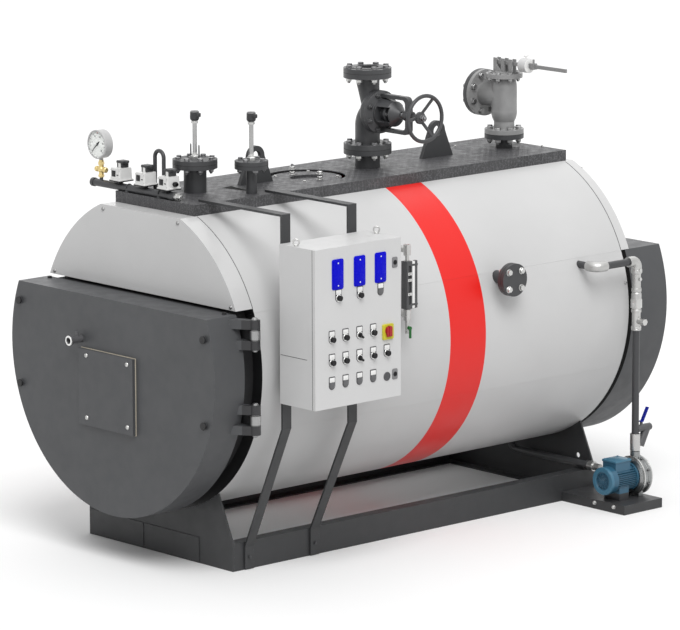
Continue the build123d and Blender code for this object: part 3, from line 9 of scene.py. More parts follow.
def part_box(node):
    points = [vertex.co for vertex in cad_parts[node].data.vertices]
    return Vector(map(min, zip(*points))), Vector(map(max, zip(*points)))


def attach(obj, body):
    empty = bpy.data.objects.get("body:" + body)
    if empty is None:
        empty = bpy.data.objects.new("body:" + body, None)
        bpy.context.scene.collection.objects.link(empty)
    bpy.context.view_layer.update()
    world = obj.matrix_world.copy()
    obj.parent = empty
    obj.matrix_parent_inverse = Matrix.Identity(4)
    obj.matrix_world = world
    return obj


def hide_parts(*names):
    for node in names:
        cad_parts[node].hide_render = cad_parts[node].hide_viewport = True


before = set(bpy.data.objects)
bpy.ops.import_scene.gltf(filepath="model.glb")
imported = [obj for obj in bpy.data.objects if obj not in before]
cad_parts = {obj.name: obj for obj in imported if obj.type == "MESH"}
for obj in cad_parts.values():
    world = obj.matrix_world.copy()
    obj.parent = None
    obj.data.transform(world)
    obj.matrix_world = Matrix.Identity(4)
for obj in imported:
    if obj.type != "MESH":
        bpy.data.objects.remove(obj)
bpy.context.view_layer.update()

MM = 0.001
X, Y, Z = Vector((1, 0, 0)), Vector((0, 1, 0)), Vector((0, 0, 1))


# Materials

class Surface:
    """One procedural material, with short names for the nodes it is made of."""

    def __init__(self, name, color, rough, metallic=0.0, coat=0.0, specular=0.5):
        self.material = bpy.data.materials.new(name)
        self.material.use_nodes = True
        self.tree = self.material.node_tree
        self.bsdf = self.tree.nodes["Principled BSDF"]
        self.set("Base Color", (*color, 1.0))
        self.set("Metallic", metallic)
        self.set("Roughness", rough)
        self.set("Specular IOR Level", specular)
        if coat:
            self.set("Coat Weight", coat)
            self.set("Coat Roughness", 0.12)
        self.rough = rough
        self.color = color
        self.at = self.tree.nodes.new("ShaderNodeTexCoord").outputs["Object"]
        self.paint_out = None
        self.normal_out = None

    def set(self, name, value):
        """Gives an input of the shader a number or a colour."""
        self.bsdf.inputs[name].default_value = value

    def new(self, kind, **settings):
        node = self.tree.nodes.new("ShaderNode" + kind)
        for key, value in settings.items():
            setattr(node, key, value)
        return node

    def link(self, source, target):
        self.tree.links.new(source, target)

    def put(self, node, **inputs):
        """Fills a node's inputs with numbers or with other nodes' outputs."""
        for key, value in inputs.items():
            socket = node.inputs[int(key[1:]) if key[0] == "i" and key[1:].isdigit() else key]
            if isinstance(value, bpy.types.NodeSocket):
                self.link(value, socket)
            else:
                socket.default_value = value
        return node

    def mapped(self, **inputs):
        """The object's coordinates, scaled or turned."""
        return self.put(self.new("Mapping"), Vector=self.at, **inputs).outputs["Vector"]

    def noise(self, scale, detail=2.0, stretch=None):
        """Cloudy noise round 0.5, drawn out along the axes where stretch is under 1."""
        at = self.mapped(Scale=stretch) if stretch else self.at
        node = self.new("TexNoise")
        return self.put(node, Vector=at, Scale=scale, Detail=detail).outputs["Fac"]

    def ramp(self, value, low, high, to_low=0.0, to_high=1.0):
        node = self.new("MapRange", clamp=True)
        return self.put(node, i0=value, i1=low, i2=high, i3=to_low, i4=to_high).outputs[0]

    def calc(self, operation, a, b):
        return self.put(self.new("Math", operation=operation), i0=a, i1=b).outputs[0]

    def blend(self, factor, a, b):
        """Colour a where factor is 0 and b where it is 1."""
        a, b = ((*c, 1.0) if isinstance(c, tuple) else c for c in (a, b))
        return self.put(self.new("Mix", data_type="RGBA"), i0=factor, i6=a, i7=b).outputs[2]

    def axis(self, name):
        node = self.new("SeparateXYZ")
        self.link(self.at, node.inputs[0])
        return node.outputs[name]

    def past(self, axis, start, end):
        """0 before start along an axis and 1 past end."""
        return self.ramp(self.axis(axis), start, end)

    def between(self, axis, low, high):
        """1 between two soft edges along an axis, each a start and an end."""
        far = self.ramp(self.axis(axis), *high, 1.0, 0.0)
        return self.calc("MULTIPLY", self.past(axis, *low), far)

    def tint(self, amount, scale):
        """Soft unevenness: a plain colour goes darker and lighter by amount, a mixed one darker."""
        fac = self.ramp(self.noise(scale, 3.0), 0.3, 0.7)
        if self.paint_out is None:
            low = tuple(c * (1 - amount) for c in self.color)
            high = tuple(min(1.0, c * (1 + amount)) for c in self.color)
        else:
            low = self.paint_out
            high = self.put(self.new("HueSaturation"), Value=1 - amount, Color=low).outputs[0]
        self.paint_out = self.blend(fac, low, high)

    def uneven_rough(self, spread, scale=18.0, stretch=None):
        low = max(0.02, self.rough - spread)
        fac = self.ramp(self.noise(scale, 3.0, stretch), 0.35, 0.65, low, self.rough + spread)
        self.link(fac, self.bsdf.inputs["Roughness"])

    def bump(self, height, depth):
        node = self.put(self.new("Bump"), Strength=1.0, Distance=depth, Height=height)
        if self.normal_out is not None:
            self.link(self.normal_out, node.inputs["Normal"])
        self.normal_out = node.outputs["Normal"]

    def grain(self, scale, depth, detail=2.0, stretch=None):
        self.bump(self.noise(scale, detail, stretch), depth)

    def soft_edges(self, radius, wear=None, share=0.5):
        """Rounds the edges in the shading, and with a colour shows wear along them."""
        node = self.new("Bevel", samples=4)
        node.inputs["Radius"].default_value = radius
        self.normal_out = node.outputs["Normal"]
        if wear:
            flat = self.new("NewGeometry").outputs["Normal"]
            dot = self.new("VectorMath", operation="DOT_PRODUCT")
            self.put(dot, i0=node.outputs["Normal"], i1=flat)
            edge = self.ramp(dot.outputs["Value"], 0.97, 0.80)
            patchy = self.ramp(self.noise(45.0, 4.0), 0.62 - 0.25 * share, 0.70)
            fac = self.calc("MULTIPLY", edge, patchy)
            self.paint_out = self.blend(fac, self.paint_out or self.color, wear)

    def finish(self, radius, spread, grain, wear=None, rough_scale=18.0):
        """Soft edges, uneven sheen and a grain of scale, depth and detail."""
        self.soft_edges(radius, wear)
        self.uneven_rough(spread, rough_scale)
        self.grain(*grain)
        return self.done()

    def done(self):
        if self.paint_out is not None:
            self.link(self.paint_out, self.bsdf.inputs["Base Color"])
        if self.normal_out is not None:
            self.link(self.normal_out, self.bsdf.inputs["Normal"])
        return self.material


def enamel(name, color, rough, peel=0.00012, wear=None, coat=0.0, amount=0.06):
    """Sprayed paint on steel, with orange peel and soft edges."""
    s = Surface(name, color, rough, coat=coat)
    s.tint(amount, 3.0)
    return s.finish(0.0015, 0.05, (260.0, peel), wear)


def casting(name, color, rough=0.5, depth=0.0006, wear=None):
    """Painted casting, slightly lumpy with a fine sand texture."""
    s = Surface(name, color, rough)
    s.tint(0.12, 14.0)
    s.soft_edges(0.003, wear, 0.6)
    s.uneven_rough(0.08, 30.0)
    s.grain(60.0, depth, 3.0)
    s.grain(420.0, depth * 0.4, 2.0)
    return s.done()


def steel(name, color, rough, stretch=(1, 1, 1), depth=0.00004):
    """Bare machined or brushed steel, with lines along an axis whose stretch is under 1."""
    s = Surface(name, color, rough, metallic=1.0)
    s.tint(0.08, 9.0)
    s.soft_edges(0.0012)
    s.uneven_rough(0.07, 40.0, stretch)
    s.grain(700.0, depth, 2.0, stretch)
    return s.done()


def plastic(name, color, rough, depth=0.00006, specular=0.5):
    """Moulded plastic, or any smooth dull face."""
    s = Surface(name, color, rough, specular=specular)
    s.tint(0.04, 20.0)
    return s.finish(0.001, 0.04, (900.0, depth), rough_scale=60.0)


BAND = (1.091, 1.311)       # red band along the shell
BAND_RED = (0.80, 0.018, 0.014)
BAND_BLUR = 0.0005          # half the width of the band's painted edge
FRONT_EDGE = -0.0276        # the shell's cut edge lies in front of this
EDGE_BLUR = 0.0004          # about the width over which one paint turns into another
PROBE_PAINT = 1.7563        # top of the probes' flanges
DRAIN_PAINT = 0.529         # end of the painted part of the drain pipe
FOOT_SHADE_TOP = 0.078          # top of the motor's foot
HINGE_START = 0.7005        # the door's hinge leaves lie outside this
WEIGHT = (0.1215, 0.1685)   # ends of the weight on the safety valve's lever
DOOR_GREY = (0.064, 0.066, 0.070)
DOOR_WORN = (0.20, 0.20, 0.20)
IRON_GREY = (0.052, 0.053, 0.056)


def cladding_sheet():
    """Pale sheet with the red band, and painted shade that turns its cut edge at the front nearly
    black.
    """
    s = Surface("cladding_sheet", (0.60, 0.60, 0.60), 0.36, specular=0.35)
    s.tint(0.03, 2.2)
    near, far = ((edge - BAND_BLUR, edge + BAND_BLUR) for edge in BAND)
    s.paint_out = s.blend(s.between("Y", near, far), s.paint_out, BAND_RED)
    # painted shade: in front of FRONT_EDGE the sheet goes nearly black
    end = s.past("Y", FRONT_EDGE, FRONT_EDGE + EDGE_BLUR)
    s.paint_out = s.blend(end, (0.012, 0.012, 0.013), s.paint_out)
    s.soft_edges(0.0015)
    s.uneven_rough(0.05, 6.0)
    s.grain(2.2, 0.004, 1.0, (1, 0.5, 1))
    s.grain(500.0, 0.00004)
    return s.done()


def walkway_sheet():
    """Dark plate with a raised non-slip pattern."""
    s = Surface("walkway_sheet", (0.046, 0.046, 0.049), 0.52)
    s.tint(0.2, 6.0)
    light = s.ramp(s.noise(150.0, 1.0), 0.52, 0.60)
    s.paint_out = s.blend(light, s.paint_out, (0.095, 0.095, 0.10))
    s.soft_edges(0.002, (0.22, 0.22, 0.22))
    s.uneven_rough(0.1, 25.0)
    bars = []
    for turn in (0.785, -0.785):
        place = s.mapped(Rotation=(0.0, 0.0, turn), Scale=(1.0, 1.0, 0.0))
        wave = s.new("TexVoronoi", feature="F1", distance="CHEBYCHEV")
        s.put(wave, Vector=place, Scale=38.0, Randomness=0.0)
        bars.append(wave.outputs["Distance"])
    s.bump(s.ramp(s.calc("MINIMUM", *bars), 0.18, 0.34, 1.0, 0.0), 0.0016)
    s.grain(300.0, 0.0002)
    return s.done()


def probe_rod():
    """Ground rod, painted like the flanges up to the top of its own flange."""
    s = Surface("rod_steel", (0.42, 0.42, 0.42), 0.26)
    bare = s.past("Z", PROBE_PAINT - EDGE_BLUR, PROBE_PAINT + EDGE_BLUR)
    s.link(bare, s.bsdf.inputs["Metallic"])
    s.paint_out = s.blend(bare, IRON_GREY, s.color)
    s.tint(0.10, 12.0)
    s.soft_edges(0.0012)
    worn = s.ramp(s.noise(40.0, 3.0, (1, 1, 0.05)), 0.35, 0.65, -0.05, 0.05)
    s.link(s.calc("ADD", s.ramp(bare, 0.0, 1.0, 0.52, 0.28), worn), s.bsdf.inputs["Roughness"])
    s.grain(500.0, 0.00006)
    return s.done()


def drain_line():
    """Painted pipe that ends in bare steel fittings."""
    s = Surface("drain_line", (0.55, 0.55, 0.54), 0.36)
    bare = s.past("X", DRAIN_PAINT - EDGE_BLUR, DRAIN_PAINT + EDGE_BLUR)
    s.link(bare, s.bsdf.inputs["Metallic"])
    s.paint_out = s.blend(bare, (0.050, 0.051, 0.054), s.color)
    s.tint(0.10, 12.0)
    return s.finish(0.0012, 0.06, (400.0, 0.0001), rough_scale=30.0)


def door_paint():
    """Dark enamel of the door, with painted shade: nearly black on the hinge leaves, which lie in the
    door's shade.
    """
    s = Surface("door_enamel", DOOR_GREY, 0.50)
    s.tint(0.06, 3.0)
    # painted shade: past the hinge line the enamel goes nearly black
    leaf_shade = s.past("X", HINGE_START, HINGE_START + 0.0006)
    s.paint_out = s.blend(leaf_shade, s.paint_out, (0.026, 0.026, 0.028))
    return s.finish(0.0015, 0.05, (260.0, 0.00012), DOOR_WORN)


def safety_lever_paint():
    """Grey lever with a lighter weight on it."""
    s = Surface("lever_paint", (0.29, 0.29, 0.29), 0.42)
    inside = s.between("X", (WEIGHT[0] - EDGE_BLUR, WEIGHT[0]), (WEIGHT[1], WEIGHT[1] + EDGE_BLUR))
    s.paint_out = s.blend(inside, s.color, (0.70, 0.70, 0.70))
    s.tint(0.10, 14.0)
    return s.finish(0.002, 0.08, (90.0, 0.0003, 3.0), rough_scale=30.0)


def motor_paint():
    """Blue enamel, with painted shade: dark on the foot, for the shade under the motor."""
    s = Surface("motor_enamel", (0.028, 0.112, 0.185), 0.38, coat=0.1)
    # painted shade: below the top of the foot the blue goes dark
    foot = s.past("Z", FOOT_SHADE_TOP - 0.0006, FOOT_SHADE_TOP + 0.0006)
    s.paint_out = s.blend(foot, (0.030, 0.031, 0.034), s.color)
    s.tint(0.06, 8.0)
    return s.finish(0.0015, 0.05, (260.0, 0.00012), (0.20, 0.30, 0.36))


def clear_glass():
    """Thin clear cover of a dial or screen."""
    s = Surface("clear_glass", (0.95, 0.97, 0.97), 0.03)
    s.set("Transmission Weight", 1.0)
    s.set("IOR", 1.12)
    s.grain(40.0, 0.00001)
    return s.done()


LIGHT = (0.60, 0.60, 0.60)
WORN = (0.30, 0.30, 0.30)

mats = {
    "base": enamel("base_enamel", (0.033, 0.034, 0.036), 0.50, wear=WORN),
    "door": door_paint(),
    "smoke": enamel("smoke_box_enamel", DOOR_GREY, 0.50, wear=DOOR_WORN),
    "case": enamel("gauge_case_enamel", (0.52, 0.52, 0.52), 0.40, peel=0.00005),
    "cap_grey": plastic("cap_grey", (0.040, 0.041, 0.043), 0.42, specular=0.35),
    "seal": plastic("black_seal", (0.004, 0.004, 0.004), 0.75, specular=0.1),
    "lever_arm": safety_lever_paint(),
    "frame": enamel("frame_enamel", (0.010, 0.010, 0.011), 0.60),
    "cladding": cladding_sheet(),
    "cover": enamel("cover_enamel", LIGHT, 0.34, coat=0.25, amount=0.03),
    "walkway": walkway_sheet(),
    "vessel": enamel("vessel_primer", (0.060, 0.061, 0.064), 0.55),
    "pipe": enamel("pipe_enamel", (0.043, 0.044, 0.047), 0.44, wear=WORN, peel=0.0002),
    "iron": casting("iron_paint", IRON_GREY, 0.42, wear=WORN),
    "grey_iron": casting("grey_iron_paint", (0.29, 0.29, 0.29), 0.40, wear=(0.5, 0.5, 0.5)),
    "rod": probe_rod(),
    "drain": drain_line(),
    "zinc": steel("zinc_steel", (0.56, 0.56, 0.55), 0.30),
    "dark_zinc": steel("dark_bolt_steel", (0.20, 0.20, 0.205), 0.36),
    "cast_bolt": steel("bolt_steel", (0.34, 0.34, 0.34), 0.34),
    "fitting": steel("fitting_steel", (0.50, 0.50, 0.49), 0.34, depth=0.0002),
    "stainless": steel("pressed_stainless", (0.30, 0.31, 0.31), 0.30, (1, 0.1, 1)),
    "brass": steel("machined_brass", (0.66, 0.52, 0.24), 0.36),
    "tube": steel("scaled_tube", (0.16, 0.15, 0.14), 0.5, (1, 0.1, 1), 0.0002),
    "panel": enamel("panel_enamel", (0.64, 0.64, 0.64), 0.42, peel=0.0002, amount=0.02),
    "white": plastic("white_plastic", (0.74, 0.74, 0.73), 0.38),
    "black": plastic("black_plastic", (0.008, 0.008, 0.009), 0.42, specular=0.25),
    "rubber": plastic("black_rubber", (0.018, 0.018, 0.018), 0.70, 0.0002),
    "blue": motor_paint(),
    "lid": enamel("lid_enamel", (0.048, 0.160, 0.245), 0.38, coat=0.1),
    "lever": plastic("lever_sleeve", (0.004, 0.012, 0.28), 0.36, specular=0.25),
    "green": plastic("green_plastic", (0.010, 0.125, 0.022), 0.40, specular=0.3),
    "red": plastic("red_plastic", (0.40, 0.020, 0.026), 0.34, specular=0.3),
    "yellow": plastic("yellow_plastic", (0.60, 0.55, 0.035), 0.36, specular=0.3),
    "lining": casting("cast_refractory", (0.50, 0.45, 0.36), 0.9, 0.0012),
    "dial": plastic("dial_white", (0.82, 0.82, 0.80), 0.45, 0.00001),
    "ink": plastic("printed_black", (0.015, 0.015, 0.016), 0.5, 0.00001),
    "black_gloss": plastic("black_gloss", (0.010, 0.010, 0.012), 0.16, 0.00001, specular=0.3),
    "plate_grey": plastic("plate_grey", (0.085, 0.085, 0.09), 0.38, specular=0.3),
    "lock_grey": plastic("lock_grey", (0.20, 0.20, 0.205), 0.36),
    "label": plastic("label_white", (0.86, 0.86, 0.85), 0.34, 0.00002),
    "lens": plastic("smoked_lens", (0.11, 0.11, 0.115), 0.18, 0.00002),
    "nickel": steel("bright_steel", (0.78, 0.78, 0.77), 0.32),
    "screen_blue": plastic("screen_blue", (0.001, 0.001, 0.58), 0.26, 0.00002, specular=0.12),
    "gauge_iron": casting("gauge_iron", (0.060, 0.061, 0.064), 0.40, 0.0003),
    "valve_dark": casting("branch_valve_body", (0.080, 0.080, 0.084), 0.40, 0.0003),
    "tube_grey": enamel("sight_tube_enamel", (0.10, 0.10, 0.105), 0.36),
    "copper": steel("copper_ring", (0.40, 0.16, 0.10), 0.34),
    "shade": plastic("dark_seam", (0.05, 0.05, 0.052), 0.7),
    "glass": clear_glass(),
}

NODE_LOOK = {
    "base": "base_rails front_cradle rear_cradle lifting_lugs panel_straps pump_skid",
    "door": "burner_door",
    "smoke": "smoke_box burner_plate",
    "cladding": "shell_cladding",
    "cover": "front_cover rear_hood",
    "walkway": "walkway manhole_cover",
    "vessel": "pressure_vessel front_tube_plate rear_tube_plate manhole_neck",
    "frame": "front_frame",
    "pipe": "door_clamps steam_nozzle safety_nozzle probe_nozzles manifold blind_stub "
            "feed_pipe",
    "gauge_iron": "level_gauge",
    "valve_dark": "branch_valve",
    "tube_grey": "sight_tube",
    "drain": "drain_pipe",
    "iron": "stop_valve_body stop_valve_bonnet handwheel steam_counter_flange "
            "safety_counter_flange",
    "grey_iron": "safety_valve_body safety_valve_cover",
    "lever_arm": "safety_lever",
    "rod": "level_probes",
    "fitting": "feed_fittings level_cocks",
    "stainless": "pump_casing",
    "case": "pressure_gauge",
    "brass": "gauge_cock",
    "tube": "furnace fire_tubes",
    "panel": "panel_cabinet panel_door",
    "white": "pressure_switches",
    "black": "panel_displays panel_controls",
    "blue": "pump_motor",
    "lever": "ball_valve_lever",
    "green": "drain_cock_handle",
    "red": "main_switch",
    "lining": "door_lining",
}
for look, names in NODE_LOOK.items():
    for name in names.split():
        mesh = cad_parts[name].data
        mesh.materials.clear()
        mesh.materials.append(mats[look])

# Shapes: every size here is in millimetres

SHELL_R = 700.0             # radius of the shell's cladding
SHELL_Z = 911.0             # height of the shell's axis
FLAT_Z = 1556.0             # height of the shell's flat top
ARC_STEPS = 96


def basis(axis, side=None):
    """Rotation that takes z to the axis and x to the side direction."""
    axis = axis.normalized()
    if side is None:
        side = X if abs(axis.x) < 0.9 else Y
    across = axis.cross(side).normalized()
    return Matrix((across.cross(axis), across, axis)).transposed()


def add(name, data):
    """New object in the scene."""
    item = bpy.data.objects.new(name, data)
    bpy.context.scene.collection.objects.link(item)
    return item


def circle(centre, radius, across, up, steps):
    """Points round a circle in the plane of two directions."""
    turns = (tau * k / steps for k in range(steps))
    return [centre + radius * (across * cos(t) + up * sin(t)) for t in turns]


class Shape:
    """Collects the faces of one piece."""

    def __init__(self):
        self.bm = bmesh.new()

    def rings(self, rings, closed=False):
        """Skins a list of rings of points, each a list of the same length, or one point."""
        made = [[self.bm.verts.new(point) for point in ring] for ring in rings]
        pairs = list(zip(made, made[1:]))
        if closed:
            pairs.append((made[-1], made[0]))
        for low, high in pairs:
            count = max(len(low), len(high))
            for i in range(count):
                j = (i + 1) % count
                if len(low) == 1:
                    corners = (low[0], high[j], high[i])
                elif len(high) == 1:
                    corners = (low[i], low[j], high[0])
                else:
                    corners = (low[i], low[j], high[j], high[i])
                self.bm.faces.new(corners)
        return made

    def cap(self, made):
        """Closes the two ends of a skin. The last face made is the far end."""
        self.bm.faces.new(reversed(made[0]))
        self.bm.faces.new(made[-1])
        self.bm.faces.ensure_lookup_table()

    def bevel(self, edges, size):
        bmesh.ops.bevel(self.bm, geom=list(edges), offset=size * MM, segments=2, affect="EDGES",
                        profile=0.5)

    def lathe(self, origin, axis, profile, steps=24, turn=0.0):
        """Turns (along, radius) pairs about the axis through the origin."""
        turned = basis(axis)
        rings = []
        for along, radius in profile:
            count = steps if radius > 0 else 1
            ring = []
            for i in range(count):
                angle = turn + tau * i / steps
                flat = Vector((radius * cos(angle), radius * sin(angle), along))
                ring.append((Vector(origin) + turned @ flat) * MM)
            rings.append(ring)
        self.rings(rings)
        return self

    def hexagon(self, origin, axis, across, height, turn=0.0):
        """Bolt head or nut with its chamfered top."""
        corner = across / sqrt(3)
        profile = ((0, 0), (0, corner), (0.84 * height, corner), (height, 0.88 * corner),
                   (height, 0))
        return self.lathe(origin, axis, profile, 6, turn)

    def washer(self, origin, axis, radius, thickness):
        edge = 0.25 * thickness
        profile = ((0, 0), (0, radius), (thickness - edge, radius), (thickness, radius - edge),
                   (thickness, 0))
        return self.lathe(origin, axis, profile, 20)

    def stud(self, origin, axis, radius, length, pitch=2.0):
        """Threaded end of a bolt."""
        profile = [(0, 0), (0, radius)]
        count = max(1, int(length / pitch))
        for i in range(count):
            profile += [((i + 0.5) * pitch, 0.88 * radius), ((i + 1) * pitch, radius)]
        profile += [(count * pitch + 0.3 * radius, 0.7 * radius), (count * pitch + 0.3 * radius, 0)]
        return self.lathe(origin, axis, profile, 12)

    def bolt(self, origin, axis, size, turn=0.0, end=0.0, washer=True):
        """Hexagon head of a bolt of that thread size, or a nut with the thread's end."""
        origin, axis = Vector(origin), axis.normalized()
        if washer:
            self.washer(origin, axis, size, 0.16 * size)
            origin = origin + axis * 0.16 * size
        height = 0.8 * size if end else 0.64 * size
        self.hexagon(origin, axis, 1.5 * size, height, turn)
        if end:
            self.stud(origin + axis * (height - 0.5), axis, 0.48 * size, end)
        return self

    def circle_of_bolts(self, centre, axis, radius, count, size, start, end=0.0):
        turned = basis(axis)
        for i in range(count):
            angle = radians(start) + tau * i / count
            arm = turned @ Vector((radius * cos(angle), radius * sin(angle), 0))
            self.bolt(Vector(centre) + arm, axis, size, angle, end)
        return self

    def block(self, low, high, edge, turned=None, about=None):
        """Box between two corners with rounded edges."""
        low, high = Vector(low), Vector(high)
        middle, size = (low + high) / 2, high - low
        made = bmesh.ops.create_cube(self.bm, size=1.0)["verts"]
        for v in made:
            v.co = Vector(a * b for a, b in zip(v.co, size)) + middle
            if turned is not None:
                v.co = turned @ (v.co - Vector(about)) + Vector(about)
            v.co *= MM
        if edge:
            self.bevel({e for v in made for e in v.link_edges}, edge)
        return self

    def tube(self, points, radius, steps, closed=False):
        """Round bar along a line of points."""
        points = [Vector(p) for p in points]
        count = len(points)
        rings = []
        side = None
        for i, point in enumerate(points):
            after = points[(i + 1) % count] if closed or i + 1 < count else point
            before = points[i - 1] if closed or i > 0 else point
            along = (after - before).normalized()
            if side is None:
                side = X if abs(along.x) < 0.9 else Y
            side = (side - along * side.dot(along)).normalized()
            other = along.cross(side)
            rings.append([
                (point + radius * (side * cos(t) + other * sin(t))) * MM
                for t in (tau * k / steps for k in range(steps))
            ])
        made = self.rings(rings, closed)
        if not closed:
            self.cap(made)
        return self

    def plate(self, outline, axis, length, side=None, origin=(0, 0, 0), edge=0.0):
        """Plate of an outline drawn across the axis."""
        turned = basis(axis, side)
        origin = Vector(origin)
        low = [(origin + turned @ Vector((a, b, 0))) * MM for a, b in outline]
        high = [(origin + turned @ Vector((a, b, length))) * MM for a, b in outline]
        self.cap(self.rings([low, high]))
        if edge:
            self.bevel(self.bm.faces[-1].edges, edge)
        return self

    def arc(self, y, low_z, width, proud, above=True):
        """Thin strip round the shell at y, on the part above or below a height."""
        start = asin((low_z - SHELL_Z) / SHELL_R)
        first, last = (start, pi - start) if above else (pi - start, tau + start)
        rings = []
        for i in range(ARC_STEPS + 1):
            t = first + (last - first) * i / ARC_STEPS
            out = Vector((cos(t), 0, sin(t)))
            at = Vector((0, y, SHELL_Z))
            if above and at.z + out.z * (SHELL_R + proud) > FLAT_Z:
                out = out * ((FLAT_Z - SHELL_Z) / (out.z * SHELL_R))
            rings.append([
                (at + out * (SHELL_R + a) + Y * b) * MM
                for a, b in ((-2, 0), (proud, 0), (proud, width), (-2, width))
            ])
        self.cap(self.rings(rings))
        return self

    def done(self, name, look, slot="fitting_steel", body="boiler", smooth=35.0):
        """Turns the collected faces into a piece that rides on a body."""
        bm = self.bm
        bmesh.ops.remove_doubles(bm, verts=bm.verts, dist=1e-7)
        bmesh.ops.recalc_face_normals(bm, faces=bm.faces)
        limit = radians(smooth)
        for e in bm.edges:
            e.smooth = len(e.link_faces) == 2 and e.calc_face_angle(pi) < limit
        for f in bm.faces:
            f.smooth = True
        mesh = bpy.data.meshes.new(name)
        bm.to_mesh(mesh)
        bm.free()
        mesh.materials.append(mats[look])
        item = add(name, mesh)
        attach(item, body)
        return item


def rounded(width, height, radius, steps=4):
    """Outline of a rectangle with round corners."""
    points = []
    for cx, cy, start in ((1, 1, 0), (-1, 1, 90), (-1, -1, 180), (1, -1, 270)):
        for i in range(steps + 1):
            angle = radians(start + 90 * i / steps)
            points.append((
                cx * (width / 2 - radius) + radius * cos(angle),
                cy * (height / 2 - radius) + radius * sin(angle),
            ))
    return points


def edges_of(node):
    """Lowest and highest corner of a CAD node, in millimetres."""
    low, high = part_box(node)
    return low / MM, high / MM


# Flanged joints on the top of the boiler

STEAM_Y, SAFETY_Y = 1230.0, 2098.0
STEM = Vector((0, STEAM_Y, 1869.0))         # on the axis of the stop valve's spindle
OUTLET_Z = 1851.0           # height of the safety valve's outlet
CAP_Z = 1956.0              # top of the safety valve's cover flange
STUB_AT = Vector((0, 1425, 1157))
STUB_BORE, STUB_SLEEVE = 24.6, 30.0         # radii of the pipe and of the sleeve over it
# Each level probe: x, y, radius of its bolt circle, bolts, thickness and radius of the flange
PROBES = ((0.0, 195.0, 80.0, 8, 20.0, 100.0), (198.0, 354.0, 55.0, 4, 18.0, 75.0))


def through_bolts(heads, nuts, centre, axis, reach, radius, count, size, start=22.5, end=7.0):
    """Bolts through a joint, with the reach from its centre to the heads and to the nuts."""
    heads.circle_of_bolts(centre + axis * reach[0], axis, radius, count, size, start)
    nuts.circle_of_bolts(centre - axis * reach[1], -axis, radius, count, size, start, end)


def flange_bolts():
    steam_low = Vector((0, STEAM_Y, edges_of("steam_nozzle")[1].z))
    steam_high = Vector((0, STEAM_Y, edges_of("stop_valve_body")[1].z))
    safety_low = Vector((0, SAFETY_Y, edges_of("safety_valve_body")[0].z))
    outlet = Vector((edges_of("safety_counter_flange")[1].x, SAFETY_Y, OUTLET_Z))
    stub_face = Vector((edges_of("blind_stub")[1].x, STUB_AT.y, STUB_AT.z))
    probe_joint = edges_of("probe_nozzles")[1].z
    gaskets = [(steam_low, Z, 110.0), (steam_high, Z, 110.0), (safety_low, Z, 92.5),
               (outlet, X, 110.0)]

    heads, nuts = Shape(), Shape()
    through_bolts(heads, nuts, steam_low, Z, (24.0, 24.0), 90.0, 8, 16.0)
    through_bolts(heads, nuts, steam_high, Z, (21.0, 24.0), 90.0, 8, 16.0)
    heads.done("steam_flange_heads", "dark_zinc", "valve_iron")
    nuts.done("steam_flange_nuts", "zinc")

    heads, nuts = Shape(), Shape()
    through_bolts(heads, nuts, safety_low, Z, (22.0, 22.0), 72.5, 8, 16.0)
    through_bolts(heads, nuts, outlet, X, (20.0, 22.0), 90.0, 8, 16.0)
    through_bolts(heads, nuts, Vector((0, SAFETY_Y, CAP_Z)), Z, (0.0, 20.0), 70.0, 8, 12.0, end=5.0)
    heads.done("safety_flange_heads", "cast_bolt")
    nuts.done("safety_flange_nuts", "cast_bolt")

    heads, nuts = Shape(), Shape()
    for x, y, radius, count, thickness, flange in PROBES:
        joint = Vector((x, y, probe_joint))
        through_bolts(heads, nuts, joint, Z, (thickness, thickness), radius, count, 14.0)
        gaskets.append((joint, Z, flange))
    heads.done("probe_flange_heads", "dark_zinc")
    nuts.done("probe_flange_nuts", "dark_zinc")

    stub = Shape()
    through_bolts(stub, stub, stub_face, X, (0.0, 36.0), 55.0, 4, 16.0, 45.0)
    stub.done("stub_flange_bolts", "zinc", "black_pipe")
    foot = sqrt(SHELL_R ** 2 - (STUB_AT.z - SHELL_Z) ** 2) - 8.0
    sleeve = ((0, STUB_BORE), (0, STUB_SLEEVE), (stub_face.x - 38 - foot, STUB_SLEEVE),
              (stub_face.x - 37 - foot, STUB_BORE))
    neck = Shape().lathe((foot, STUB_AT.y, STUB_AT.z), X, sleeve, 40)
    neck.done("stub_sleeve", "pipe", "black_pipe")
    gaskets.append((stub_face - X * 18.0, X, 75.0))

    seams = Shape()
    for centre, axis, radius in gaskets:
        groove = ((-1.2, radius - 6), (-1.2, radius + 0.25), (1.2, radius + 0.25), (1.2, radius - 6))
        seams.lathe(centre, axis, groove, 64)
    seams.done("flange_gaskets", "rubber", "black_pipe")


def bonnet_nuts():
    nuts = Shape().circle_of_bolts(STEM + X * 97.0, X, 84.0, 8, 14.0, 22.5, 6.0)
    nuts.done("bonnet_nuts", "iron", "valve_iron")
    gland = Shape().lathe(STEM + X * 150.0, X, ((0, 30), (0, 44), (10, 44), (12, 42), (12, 30)), 32)
    for side in (-1, 1):
        gland.bolt(STEM + X * 162.0 + Y * side * 37, X, 10.0, 0.0, 16.0)
    gland.done("gland_follower", "iron", "valve_iron")
    Shape().stud(STEM + X * 230.0, X, 11.6, 24.0, 4.0).done("spindle_collar", "dark_zinc")
    hub = Shape().washer(STEM + X * 366.0, X, 17.0, 2.5)
    hub.hexagon(STEM + X * 368.5, X, 27.0, 14.0)
    hub.stud(STEM + X * 382.0, X, 8.0, 6.0)
    hub.done("handwheel_nut", "dark_zinc", body="handwheel")


# Instruments on the manifold, level probes and weld beads

